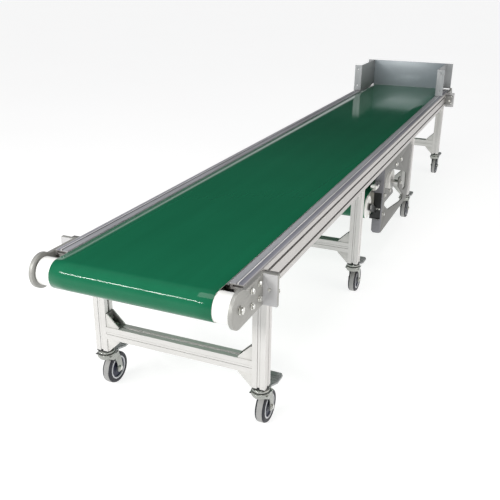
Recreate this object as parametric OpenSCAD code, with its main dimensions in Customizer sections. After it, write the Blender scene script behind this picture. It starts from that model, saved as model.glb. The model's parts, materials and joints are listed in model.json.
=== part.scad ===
// Mobile belt conveyor section with a centre drive, on four caster trestles.
// X runs across the belt, Y along it and Z up. The origin lies on the floor
// below the middle of the conveyor.

/* [Conveyor] */
// Width over the two side rails
frame_width = 550; // [450:10:900]
// Distance between the axes of the two end rollers
roller_span = 3360; // [2800:20:6000]
// Height of the carrying face of the belt above the floor
belt_height = 516; // [430:2:900]

/* [Belt and rollers] */
// Thickness of the belt
belt_t = 2; // [1:0.5:4]
// Gap from each edge of the belt to the side rail
belt_edge_gap = 5; // [3:1:20]
// Diameter of the two end rollers
nose_d = 76; // [60:2:76]
// Diameter of the drive drum
drum_d = 120; // [100:5:130]
// Diameter of the two snub rollers
snub_d = 80; // [60:2:84]
// Diameter of the take-up roller
takeup_d = 96; // [80:2:110]
// Diameter of the fixed roller axles
axle_d = 20; // [16:1:25]

/* [Side rails] */
// Width of the side rail section
rail_w = 40; // [40:5:60]
// Height of the side rail section, below its ridge
rail_h = 80; // [80:5:120]
// How far the belt stands above the outer edge of the rail
belt_proud = 1; // [0:0.5:3]
// Distance from an end roller axis to the end of the rails
rail_end_inset = 52; // [48:1:80]

/* [Trestles] */
// Size of the square leg and crossbar section
post_w = 40; // [40:1:50]
// Distance from an end roller axis to the outer trestle
trestle_inset = 212; // [200:2:400]
// Distance from the middle of the conveyor to the inner trestle
trestle_inner = 504; // [500:2:600]
// Height of the underside of the crossbars above the floor
crossbar_z = 182; // [182:2:240]
// Length of each leg of a corner gusset
gusset_l = 43; // [30:1:43]

/* [Casters] */
// Diameter of the caster wheel
wheel_d = 100; // [80:2:100]
// Width of the caster wheel
wheel_w = 30; // [24:1:34]
// Distance from the swivel axis back to the wheel axle
caster_trail = 38; // [30:1:45]
// Height of the underside of the legs above the floor
caster_h = 138; // [136:1:160]
// Diameter of the wheel axle
wheel_axle_d = 10; // [8:1:12]

/* [End plates] */
// Thickness of the end plates
end_plate_t = 10; // [6:1:12]
// Radius of the rounded nose of the end plates
end_nose_r = 48; // [44:1:52]
// How far the tension flange stands out from the rail
flange_out = 49; // [30:1:60]
// Thickness of the tension flange
flange_t = 12; // [8:1:16]

/* [Centre drive] */
// Distance from the middle of the conveyor to the front of the drive box
drive_front = 138; // [130:2:160]
// Distance from the middle of the conveyor to the back of the drive box
drive_back = 442; // [420:2:450]
// Height of the drive side plates
drive_h = 297; // [280:1:300]
// Thickness of the drive side plates
drive_t = 6; // [4:1:8]

/* [End stop] */
// Height of the end stop above the belt
stop_h = 158; // [80:2:260]
// Length of the side wings of the end stop
stop_l = 346; // [200:2:400]
// Thickness of the sheet of the end stop
stop_t = 3; // [2:0.5:5]

/* [Hidden] */
$fn = 64;
air = 0.3;          // gap between a roller and the belt, and between moving faces
run = 0.05;         // radial clearance of a running shaft
eps = 0.01;
row_names = ["1", "2", "3", "4"];
side_names = ["left", "right"];
caster_ids = [for (s = [0, 1]) for (i = [0:3]) str(side_names[s], "_", row_names[i])];

// Rails and belt
rail_x1 = frame_width / 2;
rail_x0 = rail_x1 - rail_w;
rail_top = belt_height - belt_proud;
rail_z0 = rail_top - rail_h;
rail_end = roller_span / 2 - rail_end_inset;
belt_w = 2 * (rail_x0 - belt_edge_gap);
nose_r = nose_d / 2;
nose_y = roller_span / 2;
nose_z = belt_height - belt_t - air - nose_r;
return_z = nose_z - nose_r - air - belt_t;   // green face of the return run
ridge_u = 21;                                // ridge of the rail, from its inner face
ridge_v = 4;                                 // ridge above the outer edge
slot_low = 20;                               // height of the lower slot in the rail
slot_pitch = 40;                             // distance between the two outer slots
// Trestles
trestle_y = [-(nose_y - trestle_inset), -trestle_inner, trestle_inner, nose_y - trestle_inset];
post_x = rail_x1 - post_w / 2;
crossbar_l = 2 * (rail_x1 - post_w);
// Centre drive, with every height taken from the underside of the rails
snub_r = snub_d / 2;
snub_z = return_z - air - snub_r;
snub_y = [103, 201];
drum_r = drum_d / 2;
drum_y = 235;
drum_z = rail_z0 - 160;
takeup_r = takeup_d / 2;
takeup_y = -233;
takeup_z = rail_z0 - 150;
drive_z0 = rail_z0 - drive_h;
drive_flange_x = 234 - 275 + rail_x1;        // inner edge of the front flange
drive_window_z = [rail_z0 - 236, rail_z0 - 113];
arm_t = 10;
arm_x0 = rail_x0 + 3;
arm_x1 = arm_x0 + arm_t;
block_x0 = rail_x0 - 1;                      // inner face of the take-up blocks
screw_at = arm_x0 + 7;                       // line of the take-up screws
tension_z = rail_z0 - 73;
// End stop
stop_y1 = nose_y + 15;
stop_y0 = stop_y1 - stop_l;
stop_foot_z = rail_top + ridge_v;            // the feet rest on the ridge
stop_foot_y = [stop_y0 + 14, rail_end - 26];

// ---- helpers -------------------------------------------------------------
module yz(x0, x1) {
    translate([x0, 0, 0]) rotate([90, 0, 90]) linear_extrude(x1 - x0) children();
}
module xz(y0, y1) {
    translate([0, y1, 0]) rotate([90, 0, 0]) linear_extrude(y1 - y0) children();
}
module xcyl(r, x0, x1, y, z, fn = 64) {
    translate([x0, y, z]) rotate([0, 90, 0]) cylinder(r = r, h = x1 - x0, $fn = fn);
}
module ycyl(r, y0, y1, x, z, fn = 64) {
    translate([x, y1, z]) rotate([90, 0, 0]) cylinder(r = r, h = y1 - y0, $fn = fn);
}
module block(x, y, z) {
    translate([x[0], y[0], z[0]]) cube([x[1] - x[0], y[1] - y[0], z[1] - z[0]]);
}
module both_sides() {
    children();
    mirror([1, 0, 0]) children();
}
module both_ends() {
    children();
    mirror([0, 1, 0]) children();
}
module on_side(s) {
    if (s < 0) mirror([1, 0, 0]) children();
    else children();
}
module on_end(e) {
    if (e > 0) mirror([0, 1, 0]) children();
    else children();
}
// Points of a closed outline whose corners [x, y, r] are rounded with radius r
function unit2(v) = v / norm(v);
function round_corner(a, b, c) =
    let (u = unit2([a[0] - b[0], a[1] - b[1]]), w = unit2([c[0] - b[0], c[1] - b[1]]),
         half = acos(u * w) / 2, r = b[2], m = unit2(u + w),
         centre = [b[0], b[1]] + m * r / sin(half),
         p = [b[0], b[1]] + u * r / tan(half), q = [b[0], b[1]] + w * r / tan(half),
         a0 = atan2(p[1] - centre[1], p[0] - centre[0]),
         a1 = atan2(q[1] - centre[1], q[0] - centre[0]),
         sweep = a1 - a0 > 180 ? a1 - a0 - 360 : a1 - a0 < -180 ? a1 - a0 + 360 : a1 - a0,
         n = max(2, ceil(abs(sweep) / 12)))
    [for (k = [0:n]) centre + r * [cos(a0 + sweep * k / n), sin(a0 + sweep * k / n)]];
function rounded(c) =
    let (n = len(c))
    [for (i = [0:n - 1]) each round_corner(c[(i + n - 1) % n], c[i], c[(i + 1) % n])];

// T-slot of a 40 mm section, cut downwards from a face at y = 0
module slot2d() {
    polygon([[-4.2, 1], [4.2, 1], [4.2, -4], [10, -4], [10, -6.5], [5.5, -11.5],
             [-5.5, -11.5], [-10, -6.5], [-10, -4], [-4.2, -4]]);
}
module post2d() {
    difference() {
        square(post_w, center = true);
        for (a = [0:90:270]) rotate(a) translate([0, post_w / 2]) slot2d();
        circle(r = 3.4);
    }
}
// Side rail, seen along +Y: u = 0 is the inner face and v = 0 the underside
module rail2d() {
    difference() {
        polygon([[0, 0], [rail_w, 0], [rail_w, rail_h - 1], [rail_w - 1, rail_h],
                 [ridge_u + 2, rail_h + ridge_v - 1], [ridge_u + 1, rail_h + ridge_v],
                 [ridge_u - 1, rail_h + ridge_v], [ridge_u - 3, rail_h + 2],
                 [0, rail_h + 1.5]]);
        for (k = [0, 1])
            translate([rail_w, slot_low + k * slot_pitch]) rotate(-90) slot2d();
        translate([rail_w / 2, 0]) rotate(180) slot2d();
        // open channel towards the belt
        translate([-1, rail_h - 50]) square([12, 34]);
        translate([11, rail_h - 44]) square([7, 22]);
        // closed chamber under the ridge
        translate([7, rail_h - 9]) square([rail_w - 12, 5.5]);
        translate([6, 14]) square([5, 11]);
    }
}
// The bosses hang on a web, so that rail and bosses are one section
module side_rail(s) {
    on_side(s) color("silver") difference() {
        xz(-rail_end, rail_end) translate([rail_x0, rail_z0]) difference() {
            union() {
                rail2d();
                translate([7, rail_h - 33]) circle(r = 4.5);
                translate([7, rail_h - 34]) square([12, 2]);
            }
            translate([7, rail_h - 33]) circle(r = 2.5);
        }
        // screw holes for the feet of the end stop
        for (y = stop_foot_y)
            translate([rail_x0 + ridge_u, y, rail_top - 8]) cylinder(r = 3.2, h = 20);
    }
}

// ---- bed and belt ----------------------------------------------------------
bed_t = 3;
bed_z1 = belt_height - belt_t - air;
bed_y = nose_y - nose_r - 8;
module slider_bed() {
    color("gainsboro") block([-rail_x0, rail_x0], [-bed_y, bed_y], [bed_z1 - bed_t, bed_z1]);
}
bed_bar_y = concat(trestle_y, [0]);
module bed_crossbars() {
    color("silver") for (y = bed_bar_y)
        translate([-rail_x0, y, bed_z1 - bed_t - post_w / 2]) rotate([0, 90, 0])
            linear_extrude(2 * rail_x0) post2d();
}
// Belt path: each roller is [y, z, radius, turn], turn 1 where the inner face
// of the belt lies on it and -1 where the carrying face does
path = [[-nose_y, nose_z, nose_r, 1], [snub_y[0], snub_z, snub_r, -1],
        [takeup_y, takeup_z, takeup_r, 1], [drum_y, drum_z, drum_r, 1],
        [snub_y[1], snub_z, snub_r, -1], [nose_y, nose_z, nose_r, 1]];
function path_r(i) = path[i][2] + air + belt_t / 2;
function heading(i) =
    let (a = path[i], b = path[(i + 1) % len(path)], d = [b[0] - a[0], b[1] - a[1]],
         j = (i + 1) % len(path))
    atan2(d[1], d[0]) - asin((b[3] * path_r(j) - a[3] * path_r(i)) / norm(d));
function wrap360(a) = a - 360 * floor(a / 360);
function belt_arc(i, off) =
    let (h0 = heading((i + len(path) - 1) % len(path)), t = path[i][3],
         sweep = t * wrap360(t * (heading(i) - h0)), n = ceil(abs(sweep) / 7))
    [for (k = [0:n]) let (h = h0 + sweep * k / n)
        [path[i][0], path[i][1]] - (t * path_r(i) + off) * [-sin(h), cos(h)]];
function belt_outline(off) = [for (i = [0:len(path) - 1]) each belt_arc(i, off)];
module belt() {
    color("seagreen") yz(-belt_w / 2, belt_w / 2) difference() {
        polygon(belt_outline(belt_t / 2));
        polygon(belt_outline(-belt_t / 2));
    }
}

// ---- rollers ---------------------------------------------------------------
tube_wall = 4;
bearing_r = 21;
bearing_w = 12;
nose_half = rail_x1 - 3;
bend_half = rail_x0 + 1;
// Tube with a bearing housing in each end, on the X axis
module roller(r, half) {
    rotate([0, 90, 0]) rotate_extrude() difference() {
        translate([0, -half]) square([r, 2 * half]);
        translate([-1, -half + 40]) square([r - tube_wall + 1, 2 * half - 80]);
        translate([-1, -half - 1]) square([bearing_r + 1, 2 * half + 2]);
        for (s = [-1, 1]) translate([bearing_r + 4, s * half - 2])
            square([r - bearing_r - 4 - tube_wall, 4]);
    }
}
// A roller with its bearings as one turning piece, bored to run on the axle
module bend_roller(r, half) {
    rotate([0, 90, 0]) rotate_extrude() difference() {
        translate([0, -half]) square([r, 2 * half]);
        translate([-1, -half + 30]) square([r - tube_wall + 1, 2 * half - 60]);
        translate([-1, -half - 1]) square([axle_d / 2 + run + 1, 2 * half + 2]);
    }
}
module end_roller(e) {
    color("whitesmoke") translate([0, e * nose_y, nose_z]) roller(nose_r, nose_half);
}
module end_bearings(e) {
    color("dimgray") translate([0, e * nose_y, nose_z]) rotate([0, 90, 0])
        for (s = [-1, 1]) translate([0, 0, s * (nose_half - 2 - bearing_w / 2)])
            difference() {
                cylinder(r = bearing_r, h = bearing_w, center = true);
                cylinder(r = axle_d / 2 + run, h = bearing_w + 2, center = true);
            }
}
plate_x1 = rail_x1 + end_plate_t;
module end_roller_axles() {
    color("silver") both_ends() difference() {
        xcyl(axle_d / 2, -plate_x1, plate_x1, -nose_y, nose_z);
        for (s = [-1, 1]) xcyl(5, s > 0 ? plate_x1 - 20 : -plate_x1 - 1,
                               s > 0 ? plate_x1 + 1 : -plate_x1 + 20, -nose_y, nose_z);
    }
}

// ---- end plates ------------------------------------------------------------
flange_y = nose_y - 138;                    // outer face of the tension flange
plate_z0 = nose_z - end_nose_r;
plate_z1 = rail_top - 1;
bolt_y = [nose_y - 116, nose_y - 69];
screw_x = rail_x1 + end_plate_t + 17;
screw_z = rail_z0 + 37;
module end_plate(s, e) {
    on_side(s) on_end(e) color("darkgray") difference() {
        union() {
            yz(rail_x1, plate_x1) {
                translate([-nose_y, nose_z]) circle(r = end_nose_r);
                polygon([[-nose_y, plate_z0], [-flange_y, plate_z0], [-flange_y, plate_z1],
                         [-nose_y + 30, plate_z1], [-nose_y, nose_z + end_nose_r - 0.5]]);
            }
            block([rail_x1, rail_x1 + flange_out], [-flange_y, -flange_y + flange_t],
                  [plate_z0, plate_z1]);
        }
        xcyl(axle_d / 2, rail_x1 - 1, plate_x1 + 1, -nose_y, nose_z);
        for (y = bolt_y) for (k = [0, 1])
            xcyl(4.3, rail_x1 - 1, plate_x1 + 1, -y, rail_z0 + slot_low + k * slot_pitch);
        ycyl(4.2, -flange_y - 1, -flange_y + flange_t + 1, screw_x, screw_z);
    }
}
// Hexagon bolt along X with a washer, its head outwards from x0
module slot_bolt(x0, y, z, grip) {
    union() {
        xcyl(9, x0, x0 + 1.6, y, z);
        xcyl(7.5, x0 + 1.6 - eps, x0 + 7, y, z, 6);
        xcyl(4, x0 - grip - 7.5, x0 + eps, y, z);
        block([x0 - grip - 8, x0 - grip - 4], [y - 8, y + 8], [z - 7, z + 7]);
    }
}
module end_plate_bolts() {
    color("gainsboro") both_ends() both_sides() {
        for (y = bolt_y) for (k = [0, 1])
            slot_bolt(plate_x1, -y, rail_z0 + slot_low + k * slot_pitch, end_plate_t);
        union() {
            xcyl(11, plate_x1, plate_x1 + 2, -nose_y, nose_z);
            xcyl(10, plate_x1 + 2 - eps, plate_x1 + 9, -nose_y, nose_z, 6);
            xcyl(5, plate_x1 - 20, plate_x1 + eps, -nose_y, nose_z);
        }
    }
}
anchor_gap = 14;                            // from the flange to its anchor block
anchor_t = 18;
anchor_y0 = -flange_y + flange_t + anchor_gap;
module take_up_anchors() {
    color("gray") both_ends() both_sides() difference() {
        block([rail_x1, screw_x + 10], [anchor_y0, anchor_y0 + anchor_t],
              [rail_z0 + 12, rail_z0 + 69]);
        ycyl(4, anchor_y0 - 1, anchor_y0 + anchor_t + 1, screw_x, screw_z);
        xcyl(3.3, rail_x1 - 1, screw_x + 11, anchor_y0 + anchor_t / 2, rail_z0 + slot_low);
        xcyl(3.3, rail_x1 - 1, screw_x + 11, anchor_y0 + anchor_t / 2,
             rail_z0 + slot_low + slot_pitch);
    }
}
// Button screw in a slot of the rail, with its nut, from the face at x0 inwards
module slot_screw(x0, y, z, out) {
    union() {
        xcyl(3.25, rail_x1 - 8, x0 + eps, y, z);
        xcyl(6, x0, x0 + out, y, z);
        block([rail_x1 - 8, rail_x1 - 4], [y - 7, y + 7], [z - 7, z + 7]);
    }
}
// Tension screws of the end rollers and of the take-up roller, and slot screws
module take_up_screws() {
    color("gainsboro") both_ends() both_sides() {
        union() {
            ycyl(4, -flange_y - 0.5, anchor_y0 + anchor_t + 14, screw_x, screw_z);
            ycyl(7, -flange_y + flange_t, -flange_y + flange_t + 6, screw_x, screw_z, 6);
            ycyl(7, anchor_y0 + anchor_t, anchor_y0 + anchor_t + 6, screw_x, screw_z, 6);
        }
        for (k = [0, 1])
            slot_screw(screw_x + 10, anchor_y0 + anchor_t / 2,
                       rail_z0 + slot_low + k * slot_pitch, 5);
        slot_screw(rail_x1, -flange_y + 52, rail_z0 + slot_low + slot_pitch, 4);
        slot_screw(rail_x1, -flange_y + 114, rail_z0 + slot_low, 4);
    }
    color("gainsboro") tension_knobs();
}

// ---- trestles --------------------------------------------------------------
module legs() {
    color("whitesmoke") for (y = trestle_y) for (s = [-1, 1]) difference() {
        translate([s * post_x, y, caster_h]) linear_extrude(rail_z0 - caster_h) post2d();
        translate([s * post_x, y, caster_h - 1]) cylinder(r = 6, h = 41);
    }
}
module crossbars() {
    color("whitesmoke") for (y = trestle_y)
        translate([-crossbar_l / 2, y, crossbar_z + post_w / 2]) rotate([0, 90, 0])
            linear_extrude(crossbar_l) post2d();
}
// Corner gusset in the XZ plane with its corner at the origin, open along its
// long side, with a screw hole in each flange
gusset_depth = 36;
gusset_wall = 4;
gusset_hole = 25;
module gusset() {
    difference() {
        xz(-gusset_depth / 2, gusset_depth / 2)
            polygon([[0, 0], [gusset_l, 0], [gusset_l, gusset_wall], [gusset_wall, gusset_l],
                     [0, gusset_l]]);
        xz(-gusset_depth / 2 + gusset_wall, gusset_depth / 2 - gusset_wall)
            polygon([[gusset_wall, gusset_wall], [gusset_l + 9, gusset_wall],
                     [gusset_wall, gusset_l + 9]]);
        translate([gusset_hole, 0, -1]) cylinder(r = 4.2, h = gusset_wall + 2);
        translate([-1, 0, gusset_hole]) rotate([0, 90, 0]) cylinder(r = 4.2, h = gusset_wall + 2);
    }
}
module gusset_screws() {
    for (a = [0, 1]) rotate([0, a * 90, 0]) mirror([a, 0, 0]) union() {
        translate([gusset_hole, 0, gusset_wall]) cylinder(r = 6.5, h = 6);
        translate([gusset_hole, 0, -7]) cylinder(r = 4, h = gusset_wall + 7 + eps);
        translate([gusset_hole - 7, -7, -8]) cube([14, 14, 4]);
    }
}
// Upper and lower gusset places at both ends of every crossbar
module at_gussets() {
    for (y = trestle_y) for (s = [-1, 1]) {
        translate([s * crossbar_l / 2, y, crossbar_z + post_w]) mirror([s > 0 ? 1 : 0, 0, 0])
            children();
        translate([s * crossbar_l / 2, y, crossbar_z]) mirror([s > 0 ? 1 : 0, 0, 0])
            mirror([0, 0, 1]) children();
    }
}
module gussets() {
    color("lightgray") {
        at_gussets() gusset();
        at_brackets() rail_bracket();
    }
}
module frame_screws() {
    color("gainsboro") {
        at_gussets() gusset_screws();
        at_brackets() bracket_screws();
        end_stop_screws();
    }
}
// Angle brackets that hold the head of each leg to the underside of its rail
bracket_l = 28;
bracket_t = 5;
bracket_hole = 18;
module rail_bracket() {
    difference() {
        yz(-15, 15) polygon([[0, 0], [bracket_l, 0], [bracket_l, -bracket_t],
                             [bracket_t, -bracket_l], [0, -bracket_l]]);
        yz(-11, 11) polygon([[bracket_t, -bracket_t], [bracket_l + 9, -bracket_t],
                             [bracket_t, -bracket_l - 9]]);
        ycyl(3.4, -1, bracket_t + 1, 0, -bracket_hole);
        translate([0, bracket_hole, -bracket_t - 1]) cylinder(r = 3.4, h = bracket_t + 2);
    }
}
module bracket_screws() {
    union() {
        ycyl(5, bracket_t, bracket_t + 4, 0, -bracket_hole);
        ycyl(3, -7, bracket_t + eps, 0, -bracket_hole);
        block([-7, 7], [-8, -4], [-bracket_hole - 7, -bracket_hole + 7]);
    }
    union() {
        translate([0, bracket_hole, -bracket_t - 4]) cylinder(r = 5, h = 4);
        translate([0, bracket_hole, -bracket_t - eps]) cylinder(r = 3, h = bracket_t + 7);
        block([-7, 7], [bracket_hole - 7, bracket_hole + 7], [4, 8]);
    }
}
module at_brackets() {
    for (y = trestle_y) for (s = [-1, 1]) for (e = [-1, 1])
        translate([s * post_x, y + e * post_w / 2, rail_z0]) mirror([0, e < 0 ? 1 : 0, 0])
            children();
}

// ---- casters ---------------------------------------------------------------
wheel_r = wheel_d / 2;
race_z = caster_h - 12;                     // underside of the fixed ball race
crown_z = race_z - air;                     // top of the swivelling crown
fork_in = wheel_w / 2 + 2;
fork_out = fork_in + 3;
pin_z = crown_z - 14;
function caster_x(id) = id[0] == "l" ? -post_x : post_x;
function caster_row(id) = ord(id[len(id) - 1]) - ord("1");
// Leg cap, fixed ball race and king pin of one caster
module caster_top() {
    difference() {
        union() {
            translate([-post_w / 2, -post_w / 2, caster_h - 4]) cube([post_w, post_w, 4]);
            translate([0, 0, race_z]) cylinder(r = 25, h = caster_h - 4 - race_z + eps);
            translate([0, 0, pin_z]) cylinder(r = 5, h = caster_h - 4 - pin_z);
            translate([0, 0, pin_z]) cylinder(r = 8, h = 3);
            translate([0, 0, caster_h - 4]) cylinder(r = 5.9, h = 30);
        }
        translate([0, 0, race_z - eps]) rotate_extrude() translate([18, 0]) circle(r = 2.5);
    }
}
module caster_tops() {
    color("gainsboro") for (y = trestle_y) for (s = [-1, 1])
        translate([s * post_x, y, 0]) caster_top();
}
// Fork outline of one cheek in the YZ plane
fork_top = crown_z - 7;
module cheek2d() {
    polygon(rounded([[-20, fork_top, 2], [28, fork_top, 4], [caster_trail + 9, wheel_r + 37, 16],
                     [caster_trail + 13, wheel_r - 13, 11], [caster_trail - 13, wheel_r - 13, 11],
                     [caster_trail - 15, wheel_r + 34, 18], [-9, fork_top - 11, 7]]));
}
module caster_fork(id) {
    translate([caster_x(id), trestle_y[caster_row(id)], 0]) color("darkgray") {
        difference() {
            union() {
                translate([0, 0, fork_top - 3]) cylinder(r = 28, h = crown_z - fork_top + 3);
                both_sides() yz(fork_in, fork_out) cheek2d();
                block([-fork_out, fork_out], [-20, 26], [fork_top - 3, fork_top]);
            }
            translate([0, 0, pin_z - 1]) cylinder(r = 5 + run, h = 30);
            translate([0, 0, pin_z - 1]) cylinder(r = 8 + air, h = 4 + air);
            xcyl(wheel_axle_d / 2, -fork_out - 1, fork_out + 1, caster_trail, wheel_r);
            xcyl(3, -fork_out - 1, fork_out + 1, pedal_y, pedal_z);
        }
        // wheel axle with its head and nut, then the pedal pin
        union() {
            xcyl(wheel_axle_d / 2, -fork_out, fork_out, caster_trail, wheel_r);
            xcyl(8, fork_out - eps, fork_out + 5, caster_trail, wheel_r, 6);
            xcyl(8, -fork_out - 5, -fork_out + eps, caster_trail, wheel_r, 6);
        }
        xcyl(3, -fork_out, fork_out, pedal_y, pedal_z);
    }
}
module caster_wheel(id) {
    translate([caster_x(id), trestle_y[caster_row(id)] + caster_trail, wheel_r])
        color("dimgray") rotate([0, 90, 0]) rotate_extrude() difference() {
            polygon([[0, -fork_in + air], [12, -fork_in + air], [12, -wheel_w / 2 + 5],
                     [wheel_r - 16, -wheel_w / 2 + 5], [wheel_r - 13, -wheel_w / 2],
                     [wheel_r - 4, -wheel_w / 2], [wheel_r, -wheel_w / 2 + 5],
                     [wheel_r, wheel_w / 2 - 5], [wheel_r - 4, wheel_w / 2],
                     [wheel_r - 13, wheel_w / 2], [wheel_r - 16, wheel_w / 2 - 5],
                     [12, wheel_w / 2 - 5], [12, fork_in - air], [0, fork_in - air]]);
            translate([-1, -wheel_w]) square([wheel_axle_d / 2 + run + 1, 2 * wheel_w]);
        }
}
// Brake pedal, hinged on a pin behind the king pin; it stands up when free and
// widens behind the fork
pedal_y = 34;
pedal_z = crown_z - 15;
pedal_l = 70;
module brake_pedal(id) {
    translate([caster_x(id), trestle_y[caster_row(id)], 0]) color("slategray") difference() {
        union() {
            xcyl(6, -fork_in + 1, fork_in - 1, pedal_y, pedal_z);
            intersection() {
                yz(-40, 40) polygon([[pedal_y, pedal_z - 4], [pedal_y + 26, pedal_z + 1],
                                     [pedal_y + pedal_l - 3, pedal_z + 5],
                                     [pedal_y + pedal_l, pedal_z + 9],
                                     [pedal_y + pedal_l, pedal_z + 14],
                                     [pedal_y + pedal_l - 4, pedal_z + 11],
                                     [pedal_y + 24, pedal_z + 6], [pedal_y, pedal_z + 4]]);
                linear_extrude(300) polygon([
                    [-fork_in + 3, pedal_y - 2], [fork_in - 3, pedal_y - 2],
                    [fork_in - 3, pedal_y + 14], [26, pedal_y + 30], [28, pedal_y + pedal_l - 6],
                    [23, pedal_y + pedal_l], [-23, pedal_y + pedal_l],
                    [-28, pedal_y + pedal_l - 6], [-26, pedal_y + 30],
                    [-fork_in + 3, pedal_y + 14]]);
            }
        }
        xcyl(3 + run, -30, 30, pedal_y, pedal_z);
    }
}

// ---- centre drive ----------------------------------------------------------
// Opening in the drive side plates, as [y, height below the rail, corner radius]
window = [[-110, -93, 10], [-110, -39, 40], [10, -39, 60], [335, -131, 30], [384, -150, 30],
          [384, -223, 8], [312, -223, 30], [250, -132, 24], [197, -130, 10], [204, -174, 16],
          [332, -246, 9], [326, -270, 9], [250, -263, 40], [-10, -224, 40], [-96, -180, 8],
          [-96, -166, 5], [84, -168, 5], [62, -146, 16], [-60, -111, 24]];
drive_bolt_y = [-110, -18];
drive_bolt_z = [rail_z0 - 129, rail_z0 - 215];
plate_in = rail_x1 - drive_t;
module drive_plate(s) {
    on_side(s) color("gray") difference() {
        union() {
            difference() {
                yz(plate_in, rail_x1)
                    polygon([[-drive_front, drive_z0 + 8], [-drive_front + 8, drive_z0],
                             [drive_back - 10, drive_z0], [drive_back, drive_z0 + 10],
                             [drive_back, rail_z0], [-drive_front, rail_z0]]);
                yz(plate_in - 1, rail_x1 + 1)
                    polygon(rounded([for (c = window) [c[0], rail_z0 + c[1], c[2]]]));
            }
            // front and rear flanges, bent inwards
            xz(-drive_front, -drive_front + drive_t) {
                polygon([[drive_flange_x + 8, drive_z0], [rail_x1 - 6, drive_z0],
                         [rail_x1, drive_z0 + 8], [rail_x1, drive_window_z[0]],
                         [drive_flange_x, drive_window_z[0]], [drive_flange_x, drive_z0 + 10]]);
                polygon([[drive_flange_x, drive_window_z[1]], [rail_x1, drive_window_z[1]],
                         [rail_x1, rail_z0], [drive_flange_x, rail_z0]]);
            }
            block([rail_x1 - 16, rail_x1], [drive_back - drive_t, drive_back],
                  [drive_z0 + 10, rail_z0]);
            // top flange under the rail
            block([rail_x0 + 4, rail_x1], [-drive_front, drive_back],
                  [rail_z0 - drive_t, rail_z0]);
        }
        for (z = drive_bolt_z) xcyl(4.3, plate_in - 1, rail_x1 + 1, drive_bolt_y[0], z);
        xcyl(4.3, plate_in - 1, rail_x1 + 1, drive_bolt_y[1], drive_bolt_z[0] - 3);
        for (y = snub_y) xcyl(axle_d / 2, plate_in - 1, rail_x1 + 1, y, snub_z);
        xcyl(axle_d / 2, plate_in - 1, rail_x1 + 1, drum_y, drum_z);
        ycyl(8.2, -drive_front - 1, -drive_front + drive_t + 1, screw_at, tension_z);
    }
}
drum_half = belt_w / 2 + 4;
module drum_shell() {
    color("darkslategray") translate([0, drum_y, drum_z]) rotate([0, 90, 0]) rotate_extrude()
        difference() {
            translate([0, -drum_half]) square([drum_r, 2 * drum_half]);
            translate([-1, -drum_half + 16]) square([drum_r - 7, 2 * drum_half - 32]);
            translate([-1, -drum_half - 1])
                square([axle_d / 2 + run + 1, 2 * drum_half + 2]);
        }
}
// Fixed shaft of the motorised drum, with the motor and gear inside the shell
module drum_shaft() {
    color("silver") union() {
        xcyl(axle_d / 2, -rail_x1, rail_x1, drum_y, drum_z);
        xcyl(drum_r - 12, -belt_w / 2 + 60, 60, drum_y, drum_z);
        xcyl(drum_r - 22, 60 - eps, belt_w / 2 - 90, drum_y, drum_z);
    }
}
module bend(y, z, r, half) {
    translate([0, y, z]) bend_roller(r, half);
}
snub_half = belt_w / 2 + 4;
module bend_roller_axles() {
    color("silver") {
        for (y = snub_y) xcyl(axle_d / 2, -rail_x1, rail_x1, y, snub_z);
        xcyl(axle_d / 2, -arm_x1, arm_x1, takeup_y, takeup_z);
    }
}
// Block behind the front flange, with the slim arm that carries one end of the
// take-up roller ahead of the drive box
arm_front = -drive_front + drive_t + 1;
arm_back = -drive_front + 52;
block_top = tension_z + 14;
module take_up_arms() {
    color([0.12, 0.12, 0.12]) both_sides() difference() {
        union() {
            yz(arm_x0, arm_x1) {
                polygon([[takeup_y - 6, takeup_z - 13], [arm_front + 1, takeup_z - 58],
                         [arm_front + 1, takeup_z - 30], [takeup_y + 5, takeup_z + 13]]);
                translate([takeup_y, takeup_z]) circle(r = 15);
            }
            block([block_x0, plate_in], [arm_front, arm_back], [drive_window_z[0], block_top]);
            block([block_x0 - 14, block_x0 + eps], [arm_front, arm_back],
                  [drive_window_z[0], drive_window_z[0] + 20]);
        }
        xcyl(axle_d / 2, arm_x0 - 1, arm_x1 + 1, takeup_y, takeup_z);
        for (z = drive_bolt_z) xcyl(4, block_x0 + 8, plate_in + 1, drive_bolt_y[0], z);
        ycyl(5, arm_front - 1, arm_front + 30, screw_at, tension_z);
    }
}
// Hexagon bolt of the drive plates; a nut goes on its end where it has one
module drive_bolt(x0, x1, y, z, nut = true) {
    union() {
        xcyl(9, x1, x1 + 1.6, y, z);
        xcyl(7.5, x1 + 1.6 - eps, x1 + 7, y, z, 6);
        xcyl(4, nut ? x0 - 8 : x0, x1 + eps, y, z);
        if (nut) xcyl(6.5, x0 - 6, x0, y, z, 6);
    }
}
module drive_bolts() {
    color("gainsboro") both_sides() {
        for (z = drive_bolt_z)
            drive_bolt(block_x0 + 9, rail_x1, drive_bolt_y[0], z, false);
        drive_bolt(plate_in, rail_x1, drive_bolt_y[1], drive_bolt_z[0] - 3);
        // end screws of the snub axles and of the drum shaft
        for (p = [[snub_y[0], snub_z], [snub_y[1], snub_z], [drum_y, drum_z]])
            union() {
                xcyl(11, rail_x1, rail_x1 + 2, p[0], p[1]);
                xcyl(8, rail_x1 + 2 - eps, rail_x1 + 7, p[0], p[1], 6);
            }
    }
}
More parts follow.
